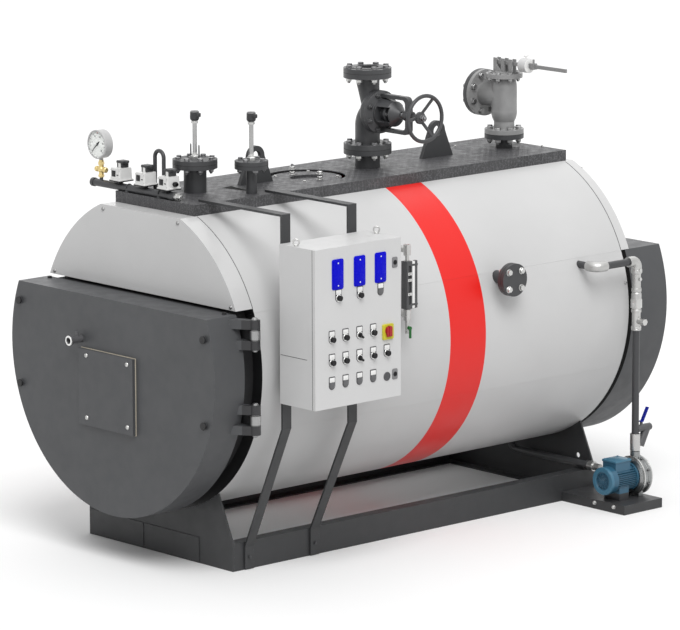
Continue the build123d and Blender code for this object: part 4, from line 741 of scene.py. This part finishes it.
GAUGE_AT = Vector((-392, -43, 1800))        # middle of the pressure gauge's front
DIAL_FACE = GAUGE_AT + Y * 3.5
DIAL_START, DIAL_SWEEP = 225, 270           # degrees where the scale starts, and how far it runs
DIAL_STEPS = 40
NEEDLE_TURN = 222
DIAL_NUMBERS = ("0", "4", "8", "12", "16", "20")


def dial_arm(degrees):
    """Direction on the dial, counted from the right."""
    return X * cos(radians(degrees)) + Z * sin(radians(degrees))


def dial_number(value, at, name):
    """Raised number that faces the front."""
    curve = bpy.data.curves.new("number", "FONT")
    curve.body = value
    curve.size = 11 * MM
    curve.align_x = curve.align_y = "CENTER"
    curve.extrude = 0.25 * MM
    holder = add("number", curve)
    holder.matrix_world = Matrix.Translation(at * MM) @ Matrix.Rotation(pi / 2, 4, "X")
    bpy.context.view_layer.update()
    mesh = bpy.data.meshes.new_from_object(
        holder.evaluated_get(bpy.context.evaluated_depsgraph_get()))
    mesh.transform(holder.matrix_world)
    mesh.materials.clear()
    mesh.materials.append(mats["ink"])
    bpy.data.objects.remove(holder)
    item = add(name, mesh)
    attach(item, "boiler")


def pressure_gauge_face():
    rim = ((-30, 64.2), (-4, 64.6), (0, 65.6), (3, 65.0), (5, 61.5), (4, 58.5), (-1, 58.2),
           (-4, 58.2))
    Shape().lathe(GAUGE_AT, -Y, rim, 72).done("gauge_rim", "case", "gauge_steel", smooth=50.0)
    disc = ((0, 0), (0, 58.8), (1.0, 58.8), (1.0, 0))
    Shape().lathe(GAUGE_AT + Y * 4.5, -Y, disc, 64).done("gauge_dial", "dial", "gauge_steel")
    marks = Shape()
    for i in range(DIAL_STEPS + 1):
        degrees = DIAL_START - DIAL_SWEEP * i / DIAL_STEPS
        length, width = (9.0, 1.9) if i % 5 == 0 else (5.0, 0.9)
        middle = DIAL_FACE + dial_arm(degrees) * (54 - length / 2)
        marks.block(middle - Vector((width / 2, 0.45, length / 2)),
                    middle + Vector((width / 2, 0.0, length / 2)), 0.0,
                    Matrix.Rotation(pi / 2 - radians(degrees), 3, "Y"), middle)
    marks.done("gauge_marks", "ink", "gauge_steel")
    middle = DIAL_FACE + Z * 52
    red = Shape().block(middle - Vector((1.6, 0.7, 4)), middle + Vector((1.6, 0, 4)), 0.0)
    red.done("gauge_limit", "red", "gauge_steel")
    outline = ((-18, -2.6), (-18, 2.6), (0, 3.4), (44, 1.2), (51, 0.0), (44, -1.2), (0, -3.4))
    needle = Shape().plate(outline, -Y, 0.8, dial_arm(NEEDLE_TURN), DIAL_FACE - Y * 1.2)
    needle.lathe(DIAL_FACE - Y * 0.4, -Y, ((0, 6.0), (2.2, 5.6), (3.0, 4.6), (3.0, 0)), 24)
    needle.done("gauge_needle", "ink", "gauge_steel")
    dome = ((0, 58.4), (1.4, 58.4), (1.8, 40.0), (2.0, 20), (2.0, 0))
    Shape().lathe(GAUGE_AT - Y * 0.5, -Y, dome, 48).done("gauge_glass", "glass", "gauge_steel")
    for i, value in enumerate(DIAL_NUMBERS):
        turn = DIAL_START - DIAL_SWEEP * i / (len(DIAL_NUMBERS) - 1)
        dial_number(value, DIAL_FACE - Y * 0.3 + 38 * dial_arm(turn), f"gauge_number_{i}")


def gauge_cock_detail():
    cock = Shape()
    centre = Vector((-392, -20, 1685))
    cock.lathe(centre - Z * 34, Z, ((0, 11), (2, 14), (10, 14), (12, 11.5), (16, 11.5)), 6)
    cock.lathe(centre + Z * 20, Z, ((0, 11.3), (2, 14), (14, 14), (16, 11.3)), 6)
    cock.lathe(centre - Z * 12, Z, ((0, 11.2), (4, 15), (12, 17), (20, 15), (24, 11.2)), 28)
    for side in (-1, 1):
        cock.lathe(centre + X * side * 14, X * side,
                   ((0, 8), (6, 8), (7, 10.5), (9, 12.5), (20, 12.5), (23, 9), (23, 0)), 28)
    cock.done("gauge_cock_body", "brass", "brass", smooth=30.0)


SWITCH_X = (-262.0, -92.0, 66.0)
SWITCH_FRONT = -54          # y that the windows and screws are set back from
MANIFOLD_Y, MANIFOLD_Z = -20, 1622.85


def switch_detail():
    foot_z = edges_of("pressure_switches")[0].z
    cap_z, front = foot_z + 58, SWITCH_FRONT
    foot, windows, screws, plugs = Shape(), Shape(), Shape(), Shape()
    for x in SWITCH_X:
        foot.plate(rounded(78, 86, 9), Z, 5.0, X, (x, -12, foot_z - 1.5), 1.2)
        foot.lathe((x, MANIFOLD_Y, foot_z - 12), Z, ((0, 8.2), (0, 15), (8, 15), (11, 12)), 6)
        windows.block((x - 22, front + 3.6, foot_z + 20), (x + 4, front + 7, foot_z + 47), 1.0)
        windows.block((x + 12, front + 3.8, foot_z + 27), (x + 24, front + 7, foot_z + 31), 0.6)
        for sx, sz in ((-28, 14), (28, 14), (-28, 50), (28, 50)):
            screws.lathe((x + sx, front + 6, foot_z + sz), -Y,
                         ((0, 3.4), (1.8, 3.2), (2.6, 2.0), (2.6, 0)), 12)
        plugs.block((x - 18.5, -22.5, cap_z + 0.4), (x + 19, 16.5, cap_z + 23), 3.0)
        plugs.block((x - 19, -26, cap_z + 20), (x + 25, 16, cap_z + 32), 3.5)
        plugs.block((x + 22, -12, cap_z + 18), (x + 33, 4, cap_z + 29), 2.5)
    foot.done("switch_feet", "black", "switch_white")
    windows.done("switch_windows", "black_gloss", "switch_white")
    screws.done("switch_screws", "zinc")
    plugs.done("switch_plugs", "cap_grey", "switch_white")
    gland = ((-4, 9), (2, 9), (2, 12), (12, 12), (14, 9), (20, 8))
    Shape().lathe((104, -12, foot_z + 26), X, gland, 6).done("switch_gland", "black", "switch_white")
    plug = ((0, 0), (0, 17), (2, 18.5), (18, 18.5), (20, 17), (20, 13), (22, 12), (36, 12),
            (38, 10), (38, 0))
    Shape().lathe((121, MANIFOLD_Y, MANIFOLD_Z), X, plug, 6).done("manifold_plug", "zinc")
    clips = Shape()
    for x in (-200, 20):
        clips.block((x - 14, -40, 1603), (x + 14, 22, 1608), 1.0)
        clips.tube([(x, MANIFOLD_Y + 19 * cos(t), MANIFOLD_Z + 19 * sin(t))
                    for t in (pi * k / 12 for k in range(13))], 2.4, 8)
        for y in (-32, 12):
            clips.bolt((x, y, 1608), Z, 8.0, 0.0, 4.0)
    clips.lathe((100, MANIFOLD_Y, MANIFOLD_Z), X, ((-14, 16.9), (-14, 19.5), (19, 19.5), (22, 15)), 32)
    clips.lathe((-450, MANIFOLD_Y, MANIFOLD_Z), -X,
                ((-14, 17), (-14, 20), (2, 20), (4, 17), (4, 0)), 32)
    clips.done("manifold_clips", "pipe", "black_pipe")


def probe_detail():
    top = edges_of("level_probes")[1].z - 34
    joint = edges_of("probe_nozzles")[1].z
    heads, rods, nuts = Shape(), Shape(), Shape()
    for x, y, _, count, thickness, _ in PROBES:
        base = joint + thickness
        heads.lathe((x, y, top - 6), Z, ((0, 10.4), (0, 17), (6, 20.6), (8, 20.6), (10, 20.9),
                                        (37, 20.2), (41, 17), (42, 8), (42, 0)), 32)
        heads.block((x + 8, y - 9, top + 10), (x + 34, y + 9, top + 28), 3.0)
        nuts.hexagon((x, y, base), Z, 36.0, 16.0)
        nuts.lathe((x, y, base + 16), Z, ((0, 14), (4, 14), (6, 11), (14, 10.4)), 24)
        nuts.hexagon((x, y, top - 20), Z, 27.0, 12.0)
        if count == 8:
            for side in (-1, 1):
                rods.lathe((x + side * 28, y, base), Z, ((0, 7), (8, 7), (9, 3.4), (60, 3.0),
                                                        (66, 1.0), (66, 0)), 14)
                nuts.hexagon((x + side * 28, y, base), Z, 17.0, 7.0)
    heads.done("probe_heads", "cap_grey", "probe_steel")
    nuts.done("probe_nuts", "zinc")
    rods.done("probe_lugs", "pipe")


# Each weld bead under a neck's flange: x, y, z and radius of the neck
BEADS = ((0, STEAM_Y, 1669.5, 57.2), (0, SAFETY_Y, 1649.5, 38.1), (0, 195, 1714.5, 50.9),
         (198, 354, 1716.5, 24.2))


def weld_beads():
    beads = Shape()
    for x, y, z, radius in BEADS:
        bead = [(x + (radius + 2) * cos(t), y + (radius + 2) * sin(t),
                 z - 2 + 0.7 * sin(23 * t)) for t in (tau * k / 90 for k in range(90))]
        beads.tube(bead, 3.6, 8, closed=True)
    beads.done("weld_beads", "pipe", "black_pipe", smooth=60.0)


# Control panel

PANEL_X = 988.5             # front face of the panel's door
ROW_Z = (1091.0, 990.0, 889.0)
COLUMN_Y = (117.0, 196.0, 277.0, 357.0)
LABEL_UP = 25.0             # from the middle of a knob up to the middle of its label
SCREEN_Y, SCREEN_Z = (151.0, 278.0, 400.0), 1372.0
LOCKS = ((484.0, 1384.0), (484.0, 891.0))
SOCKET = (438.0, 886.0)     # the round socket in the lower corner
SWITCH_AT = Vector((1001.0, 439.0, 1090.0))
GASKET_Z = (790.6, 1489.4)  # heights of the door gasket's lower and upper strip


def keyhole(radius, top, corner=4.0):
    """Outline of a label plate: round below, square above."""
    points = [(radius * cos(t), radius * sin(t)) for t in (pi * (1 + i / 14) for i in range(15))]
    for side, start in ((1, 0), (-1, 90)):
        for i in range(4):
            t = radians(start + 30 * i)
            points.append((side * (radius - corner) + corner * cos(t),
                           top - corner + corner * sin(t)))
    return points


def ring_plate(shape, outer, centre, hole, x, thickness, edge):
    """Plate across X with a round hole, its outer corner broken by edge."""
    inner = []
    for y, z in outer:
        t = atan2(z - centre[1], y - centre[0])
        inner.append((centre[0] + hole * cos(t), centre[1] + hole * sin(t)))
    mid = (sum(y for y, _ in outer) / len(outer), sum(z for _, z in outer) / len(outer))
    small = []
    for y, z in outer:
        arm = Vector((y - mid[0], z - mid[1]))
        arm *= 1 - edge / arm.length
        small.append((mid[0] + arm.x, mid[1] + arm.y))
    rows = ((x, inner), (x, outer), (x + thickness - edge, outer), (x + thickness, small),
            (x + thickness, inner))
    shape.rings([[Vector((at, y, z)) * MM for y, z in row] for at, row in rows], closed=True)


def panel_detail():
    plates, labels, rings, knobs, lenses = Shape(), Shape(), Shape(), Shape(), Shape()
    spots = [(y, z, "knob") for z in ROW_Z[:2] for y in COLUMN_Y]
    spots += [(y, ROW_Z[2], "lens") for y in COLUMN_Y]
    spots += [(437.0, ROW_Z[1], "knob"), (156.0, 1268.0, "knob"), (280.0, 1266.0, "knob"),
              (401.0, 1266.0, "lens")]
    for y, z, kind in spots:
        at = (PANEL_X, y, z)
        plates.plate(keyhole(18.0, 39.5), X, 1.4, Y, at, 0.4)
        labels.plate(rounded(29.0, 20.0, 2.5), X, 1.3, Y, (PANEL_X + 1.4, y, z + LABEL_UP), 0.4)
        face = Vector((PANEL_X + 1.4, y, z))
        if kind == "lens":
            lenses.lathe(face, X, ((0, 15.6), (2.2, 15.6), (3.0, 14.6), (3.4, 12.0), (3.8, 11.5),
                                   (4.6, 8.0), (5.0, 0)), 32)
            continue
        rings.lathe(face, X, ((0, 16.0), (2.6, 16.0), (3.8, 14.8), (3.8, 11.0)), 32)
        if y == COLUMN_Y[2]:
            knobs.lathe(face, X, ((0, 11.8), (6.5, 11.8), (8.0, 10.4), (8.0, 0)), 28)
            turned = Matrix.Rotation(radians(-42), 3, "X")
            middle = face + Vector((0, 4.5, -4.5))
            knobs.block(middle + Vector((5, -12.5, -4.2)), middle + Vector((16, 12.5, 4.2)), 1.6,
                        turned, middle)
        else:
            knobs.lathe(face, X, ((0, 11.0), (7.0, 11.0), (8.0, 12.6), (15.2, 12.2), (16.4, 10.8),
                                  (16.0, 0)), 32)
    locks = Shape()
    for y, z in LOCKS:
        locks.plate(rounded(31.0, 47.0, 7.0), X, 3.4, Y, (PANEL_X, y, z), 1.4)
        knobs.lathe((PANEL_X + 3.4, y, z), X, ((0, 10.5), (1.6, 10.5), (2.4, 9.6), (2.4, 0)), 28)
        knobs.lathe((PANEL_X + 5.6, y, z), X, ((0.0, 4.4), (2.0, 4.4), (2.0, 0)), 3)
    locks.done("panel_locks", "lock_grey", "control_plastic", body="panel_door")
    plates.lathe((PANEL_X, *SOCKET), X, ((0, 19.5), (2.0, 19.5), (3.4, 18.2), (3.4, 14.0),
                                         (2.4, 13.5), (2.4, 9.0), (3.0, 8.6), (3.0, 0)), 40)
    plate = plates.done("panel_plates", "plate_grey", "control_plastic", body="panel_door")
    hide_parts("panel_controls")
    labels.done("panel_labels", "label", "panel_paint", body="panel_door")
    rings.done("panel_rings", "nickel", body="panel_door")
    knobs.done("panel_knobs", "black", "control_plastic", body="panel_door")
    lenses.done("panel_lenses", "lens", "control_plastic", body="panel_door")

    screens, dots = Shape(), Shape()
    for y in SCREEN_Y:
        at = Vector((PANEL_X, y, SCREEN_Z))
        screens.plate(rounded(66.0, 133.0, 9.0), X, 3.6, Y, at, 1.2)
        screens.plate(rounded(57.0, 122.0, 7.0), X, 2.2, Y, at + X * 3.6, 1.4)
        for z in (-49, 49):
            dots.lathe(at + X * 5.6 + Z * z, X, ((0, 3.4), (0.9, 3.2), (1.5, 2.2), (1.6, 0)), 16)
    screen = screens.done("panel_screens", "screen_blue", "display_plastic", body="panel_door")
    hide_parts("panel_displays")
    dots.done("panel_screen_screws", "label", body="panel_door")

    guard = Shape()
    outer = [(441.0 + a, 1084.0 + b) for a, b in rounded(62.0, 68.0, 6.0, 8)]
    ring_plate(guard, outer, SWITCH_AT.yz, 20.4, PANEL_X, 9.0, 2.0)
    guard.done("switch_guard", "yellow", "control_plastic", body="panel_door")
    grip = Shape().block(SWITCH_AT + Vector((-1, -16, -27)), SWITCH_AT + Vector((8.5, 16, 19)), 4.5)
    grip.done("switch_grip", "red", "handle_red", body="main_switch")

    eyes = Shape()
    level = (X + Y).normalized()
    for y in (37.0, 505.0):
        foot = Vector((851.0, y, 1490.0))
        eyes.lathe(foot, Z, ((0, 10), (2.5, 10), (3.5, 9), (3.5, 6), (6, 5.5)), 24)
        eyes.tube(circle(foot + Z * 18, 13.0, level, Z, 32), 3.6, 10, closed=True)
    eyes.done("panel_eye_bolts", "zinc")

    seam = Shape().block((765, 20.5, 1005.6), (936, 21.6, 1008.2), 0.4)
    seam.done("cabinet_seam", "shade", "panel_paint")
    strips = Shape()
    for z in GASKET_Z:
        strips.block((969.6, 22, z - 0.5), (971.9, 520, z + 0.5), 0.2)
    for y in (21.5, 520.5):
        strips.block((969.4, y - 0.7, 791), (971.9, y + 0.7, 1489), 0.2)
    strips.done("panel_gasket", "shade", "panel_paint")


# Burner door and front covers

DOOR_TOP = 1183.0           # flat upper face of the door
HINGE_Z = (730.0, 1105.0)
HINGE_X, HINGE_Y = 735.0, -100.0
HINGE_HALF = 65.0           # half the height of a hinge
HINGE_LEAF = 42.7           # from a hinge's end to the leaf's face
SIGHT_Z = 980.0             # height of the sight tube's axis
PLATE_FRONT = -317.5        # front of the burner plate
COVER_FRONT = -124.0        # front of the front cover
HOOD_BACK = 2280.0          # back of the rear hood


def dome_screw(shape, at, axis, radius, height=6.0):
    """Round head with a socket in it."""
    profile = ((0, radius), (0.25 * height, radius), (0.7 * height, 0.82 * radius),
               (0.95 * height, 0.5 * radius), (height, 0.36 * radius), (0.55 * height, 0.30 * radius),
               (0.55 * height, 0))
    shape.lathe(at, axis, profile, 24)


def door_detail():
    screws = Shape()
    for x in (-149.0, 132.0):
        for z in (634.5, 915.0):
            dome_screw(screws, (x, PLATE_FRONT, z), -Y, 10.5)
    screws.done("burner_plate_screws", "zinc", body="burner_door")
    gasket = Shape().plate(rounded(377, 347, 3), -Y, 4.0, X, (-17.0, -298.4, 771.0))
    gasket.done("burner_plate_gasket", "lining", "refractory", body="burner_door")
    knobs = Shape()
    for x in (-634.0, 634.0):
        for z in (1095.0, 717.0):
            knobs.lathe((x, -314.5, z), -Y, ((-9, 13.2), (-9, 16.5), (-2, 17.5), (0, 16), (0.6, 8),
                                             (0.6, 0)), 28)
    knobs.done("clamp_caps", "frame", "black_pipe", body="burner_door")
    tops = Shape()
    for x in (-600.0, 600.0):
        tops.bolt((x, -157.0, DOOR_TOP), Z, 13.0, 0.4, washer=False)
    tops.done("door_top_bolts", "frame", "door_paint", body="burner_door")
    low, high = edges_of("sight_tube")
    centre = Vector(((low.x + high.x) / 2, low.y, SIGHT_Z))
    ring = ((-4, 21.9), (-4, 22.6), (0.6, 22.6), (2.0, 20.6), (2.0, 15.0), (-5, 14.2))
    Shape().lathe(centre, -Y, ring, 36).done("sight_ring", "nickel", body="burner_door")
    inside = Shape().lathe(centre, -Y, ((-14, 0), (-14, 14.0), (-12, 14.0), (-12.0, 0)), 32)
    inside.done("sight_glass", "black_gloss", body="burner_door")
    pins = Shape()
    for z in HINGE_Z:
        for up, end in ((1, Z), (-1, -Z)):
            start = Vector((HINGE_X, HINGE_Y, z + up * HINGE_HALF))
            pins.lathe(start, end, ((0.3, 0), (0.3, 15.5), (3, 15.5), (4, 13), (8, 12), (11, 8),
                                    (12, 0)), 24)
            pins.washer(start - end * HINGE_LEAF, end, 22.0, 2.4)
        pins.lathe((HINGE_X, HINGE_Y, z), Z, ((-20, 23.8), (-20, 24.6), (20, 24.6), (20, 23.8)), 36)
    pins.done("hinge_pins", "cast_bolt")


def cover_screws():
    screws = Shape()
    for x, z in ((-605.0, 1210.0), (605.0, 1210.0), (-256.0, 1535.0), (256.0, 1535.0)):
        dome_screw(screws, (x, COVER_FRONT, z), -Y, 9.0)
    for x, z in ((-600.0, 1215.0), (-330.0, 1520.0), (330.0, 1520.0), (600.0, 1215.0)):
        dome_screw(screws, (x, HOOD_BACK, z), Y, 9.0)
    out = Vector((697.7, 0, 1035.0 - SHELL_Z)).normalized()
    dome_screw(screws, Vector((0, 2216.0, SHELL_Z)) + out * (SHELL_R - 0.5), out, 9.0)
    screws.done("cover_screws", "cast_bolt", "cover_sheet")
    seams = Shape()
    seams.arc(-29.5, 1196.0, 3.0, 0.6)
    seams.arc(2226.5, 1181.0, 3.0, 0.6)
    seams.done("shell_seams", "shade", "cladding")
    seal = Shape().arc(2228.2, 1180.0, 24.0, 0.8, above=False)
    seal.done("smoke_box_seal", "seal", "cladding")


# Smaller things on the shell, the base and the pump's skid

MANHOLE_TOP = 1600.0        # upper face of the manhole cover
WALKWAY_TOP = 1606.0
FEED_X, FEED_Y = 770.0, 2206.0


def manhole_detail():
    studs, nuts = Shape(), Shape()
    for x in (-94.0, 94.0):
        at = Vector((x, 852.0, MANHOLE_TOP))
        studs.stud(at, Z, 7.0, 48.0, 2.5)
        for up in (0, 24):
            nuts.washer(at + Z * up, Z, 15.0, 3.0)
            nuts.hexagon(at + Z * (up + 3), Z, 22.0, 11.0)
    for x in (-100.0, 100.0):
        for y in (755.0, 955.0):
            nuts.bolt((x, y, MANHOLE_TOP), Z, 9.0, 0.3)
    for x, y in ((-159.0, 1933.0), (120.0, 2230.0)):
        nuts.bolt((x, y, WALKWAY_TOP), Z, 8.0, 0.3)
    studs.done("manhole_studs", "dark_zinc")
    nuts.done("manhole_nuts", "zinc")


def walkway_dark_wedge():
    """Thin black sheet laid on the walkway beside the second probe's nozzle, where a dark wedge shows.
    """
    outline = ((0, 350), (127, 380), (172, 390), (172, 400), (115, 396), (60, 401), (-12, 415),
               (-5, 380))
    slot = Shape().plate(outline, Z, 0.5, X, (0, 0, WALKWAY_TOP))
    slot.done("walkway_dark_wedge", "seal", "walkway_plate")


def base_bolts():
    skid = Shape()
    for x in (714.0, 838.0):
        skid.bolt((x, 2000.0, 28.5), -Y, 10.0, 0.2)
    skid.done("skid_bolts", "zinc")
    straps = Shape()
    for y in (60.0, 445.0):
        straps.bolt((507.0, y, 56.0), X, 9.0, 0.4, washer=False)
    straps.done("strap_bolts", "pipe", "black_pipe")


def feed_line_detail():
    """Unions, rings and bosses of the feed line's fittings."""
    centre = Vector((FEED_X, FEED_Y, 0.0))
    rings, nuts = Shape(), Shape()
    for low, high, radius in ((1006, 1023, 23.6), (909, 923, 24.0), (825, 832, 23.8)):
        rings.lathe(centre + Z * low, Z, ((0, 19), (0, radius - 1), (1.5, radius),
                                          (high - low - 1.5, radius), (high - low, radius - 1),
                                          (high - low, 19)), 36)
    nuts.lathe(centre + Z * 928, Z, ((0, 19), (0, 25), (3, 26.5), (40, 26.5), (44, 25),
                                     (44, 23.5), (69, 23.5), (69, 19)), 8)
    nuts.lathe(centre + Z * 832, Z, ((0, 19), (0, 24.5), (12, 24.5), (12, 19)), 6)
    nuts.lathe(centre + Z * 868 + X * 40, X, ((0, 12), (0, 16.5), (18, 16.5), (19, 15), (19, 0)), 6)
    for z in (1108.0, 1066.0):
        nuts.lathe(centre + Z * z + X * 19, X, ((0, 9), (8, 9), (9.5, 8), (10, 0)), 6)
    rings.done("feed_rings", "fitting")
    nuts.done("feed_unions", "zinc")
    packing = Shape().lathe(centre + Z * 238, Z, ((0, 17.2), (0, 21), (9, 21), (9, 17.2)), 32)
    packing.done("feed_packing_ring", "copper")


PUMP_AT = Vector((FEED_X, 0.0, 140.0))      # on the pump's shaft
TERMINAL_BOX_Y = 2085.0


def pump_detail():
    low, high = edges_of("pump_motor")
    grille, lid = Shape(), Shape()
    back = PUMP_AT + Y * low.y
    rim = ((-14, 64.2), (-14, 65.2), (-2, 65.2), (1.5, 62), (1.5, 44), (-1, 42))
    Shape().lathe(back, -Y, rim, 48).done("fan_cover_rim", "lid", "motor_blue")
    for i in range(5):
        grille.tube(circle(back + Y * 2.0, 8.0 + 7.5 * i, X, Z, 36), 1.3, 6, closed=True)
    for i in range(6):
        t = pi * i / 6
        arm = (X * cos(t) + Z * sin(t)) * 41.0
        grille.tube([back + Y * 2.0 - arm, back + Y * 2.0 + arm], 1.1, 6)
    grille.done("fan_grille", "blue", "motor_blue")
    lid.block((PUMP_AT.x - 46, TERMINAL_BOX_Y - 52, high.z - 9),
              (PUMP_AT.x + 46, TERMINAL_BOX_Y + 52, high.z + 2), 3.0)
    for x in (-36, 36):
        for y in (-42, 42):
            lid.lathe((PUMP_AT.x + x, TERMINAL_BOX_Y + y, high.z + 1.5), Z,
                      ((0, 4.5), (2, 4.5), (3, 3), (3, 0)), 14)
    lid.done("terminal_box_lid", "lid", "motor_blue")
    bolts, bright = Shape(), Shape()
    face = PUMP_AT + Y * edges_of("pump_casing")[0].y
    for near, far, radius in ((11.4, 18.6, 92.4), (58.0, 64.6, 91.8)):
        bright.lathe(face, Y, ((near, 78), (near, radius - 1.2), (near + 1.2, radius),
                               (far - 1.2, radius), (far, radius - 1.2), (far, 78)), 72)
    bright.done("casing_rings", "zinc", "pump_stainless")
    for i in range(8):
        t = radians(22.5 + 45 * i)
        at = face + Y * 51.0 + 86.0 * (X * cos(t) + Z * sin(t))
        bolts.bolt(at, -Y, 7.0, t, 0.3)
    bolts.done("casing_bolts", "dark_zinc", "pump_stainless")


def level_gauge_detail():
    low, high = edges_of("level_gauge")
    y = (low.y + high.y) / 2
    clamps, scale, rail = Shape(), Shape(), Shape()
    for z in (1268.0, 1240.0, 1177.0):
        clamps.block((high.x - 2, y - 12, z - 7), (high.x + 2.5, y + 12, z + 7), 1.5)
        clamps.bolt((high.x + 2.5, y, z), X, 6.0, 0.2, washer=False)
    clamps.done("level_gauge_clamps", "zinc")
    # painted highlight: a white bar for the light line of the gauge glass
    scale.block((high.x - 16, high.y - 1, low.z + 2), (high.x - 4, high.y + 17, high.z - 2), 1.2)
    scale.done("level_gauge_glass_glint", "label")
    rail.block((high.x - 20, high.y + 17, low.z), (high.x - 4, high.y + 33, high.z), 2.5)
    for z in (low.z + 18, high.z - 18):
        rail.block((high.x - 22, high.y - 2, z - 5), (high.x - 3, high.y + 34, z + 5), 1.5)
    rail.done("level_gauge_rail", "gauge_iron", "black_pipe")


def safety_weight():
    """Round face of the lever's weight, with its locking screw."""
    weight = Shape()
    centre = Vector((168.0, SAFETY_Y, 2005.0))
    weight.lathe(centre, X, ((-2, 30), (-2, 33.4), (1.5, 33.4), (2.6, 31), (2.6, 14), (1.2, 12)), 40)
    weight.tube([centre + Vector((-22, -14, 45)), centre + Vector((-22, 14, 45))], 4.0, 10)
    weight.tube([centre + Vector((-22, 0, 30)), centre + Vector((-22, 0, 45))], 4.0, 10)
    weight.done("safety_weight_face", "label", "valve_grey", body="safety_lever")


flange_bolts()
bonnet_nuts()
pressure_gauge_face()
gauge_cock_detail()
switch_detail()
probe_detail()
weld_beads()
panel_detail()
door_detail()
cover_screws()
manhole_detail()
base_bolts()
walkway_dark_wedge()
feed_line_detail()
pump_detail()
level_gauge_detail()
safety_weight()

# Stage

FLOOR_HALF = 60.0
FLOOR_SEEN = (0.95, 0.95, 0.95)
FLOOR_BOUNCE = (0.66, 0.66, 0.66)
WORLD_LIGHT = 0.50
LAMPS = (   # name, direction towards the lamp, how wide it looks in degrees, strength
    ("key_lamp", (0.53, -0.31, 0.79), 34.0, 1.7),
    ("top_lamp", (0.30, -0.10, 0.95), 100.0, 0.5),
    ("back_lamp", (-0.62, 0.48, 0.62), 70.0, 0.5),
)


def unseen_by_bounce(tree):
    """1 for camera, glossy and transmission rays, and 0 for the light that bounces."""
    path = tree.nodes.new("ShaderNodeLightPath")
    seen = path.outputs["Is Camera Ray"]
    for ray in ("Is Glossy Ray", "Is Transmission Ray"):
        both = tree.nodes.new("ShaderNodeMath")
        both.operation = "MAXIMUM"
        tree.links.new(seen, both.inputs[0])
        tree.links.new(path.outputs[ray], both.inputs[1])
        seen = both.outputs[0]
    return seen


def stage():
    """Pale floor, white surroundings and plain soft lamps."""
    bm = bmesh.new()
    bmesh.ops.create_grid(bm, x_segments=1, y_segments=1, size=FLOOR_HALF)
    mesh = bpy.data.meshes.new("floor")
    bm.to_mesh(mesh)
    bm.free()
    floor = add("floor", mesh)
    s = Surface("floor_paper", FLOOR_SEEN, 0.9, specular=0.0)
    s.paint_out = s.blend(unseen_by_bounce(s.tree), FLOOR_BOUNCE, FLOOR_SEEN)
    mesh.materials.append(s.done())
    world = bpy.data.worlds.new("studio")
    world.use_nodes = True
    tree = world.node_tree
    back = tree.nodes["Background"]
    back.inputs["Color"].default_value = (1.0, 1.0, 1.0, 1.0)
    level = tree.nodes.new("ShaderNodeMapRange")
    tree.links.new(unseen_by_bounce(tree), level.inputs[0])
    level.inputs[3].default_value = WORLD_LIGHT
    level.inputs[4].default_value = 1.0
    tree.links.new(level.outputs[0], back.inputs["Strength"])
    bpy.context.scene.world = world
    for name, towards, spread, power in LAMPS:
        lamp = bpy.data.lights.new(name, "SUN")
        lamp.angle = radians(spread)
        lamp.energy = power
        item = add(name, lamp)
        item.rotation_euler = Vector(towards).to_track_quat("Z", "Y").to_euler()
        item.location = Vector(towards) * 8


stage()

# Camera at the photograph's angle
CAMERA_AT = Vector((15.855, -13.254, 5.035))
CAMERA_TURN, CAMERA_RISE, CAMERA_ROLL = (radians(a) for a in (47.93, 10.86, -0.18))
LENS = 251.5

back = Vector((
    sin(CAMERA_TURN) * cos(CAMERA_RISE),
    -cos(CAMERA_TURN) * cos(CAMERA_RISE),
    sin(CAMERA_RISE),
))
right = Vector((cos(CAMERA_TURN), sin(CAMERA_TURN), 0.0))
up = back.cross(right)
view = Matrix((right, up, back)).transposed().to_4x4() @ Matrix.Rotation(CAMERA_ROLL, 4, "Z")
lens = bpy.data.cameras.new("camera")
lens.lens = LENS
lens.sensor_width = 36.0
lens.sensor_fit = "HORIZONTAL"
lens.clip_end = 200.0
camera = add("camera", lens)
camera.matrix_world = Matrix.Translation(CAMERA_AT) @ view
bpy.context.scene.camera = camera
bpy.context.scene.view_settings.view_transform = "Standard"
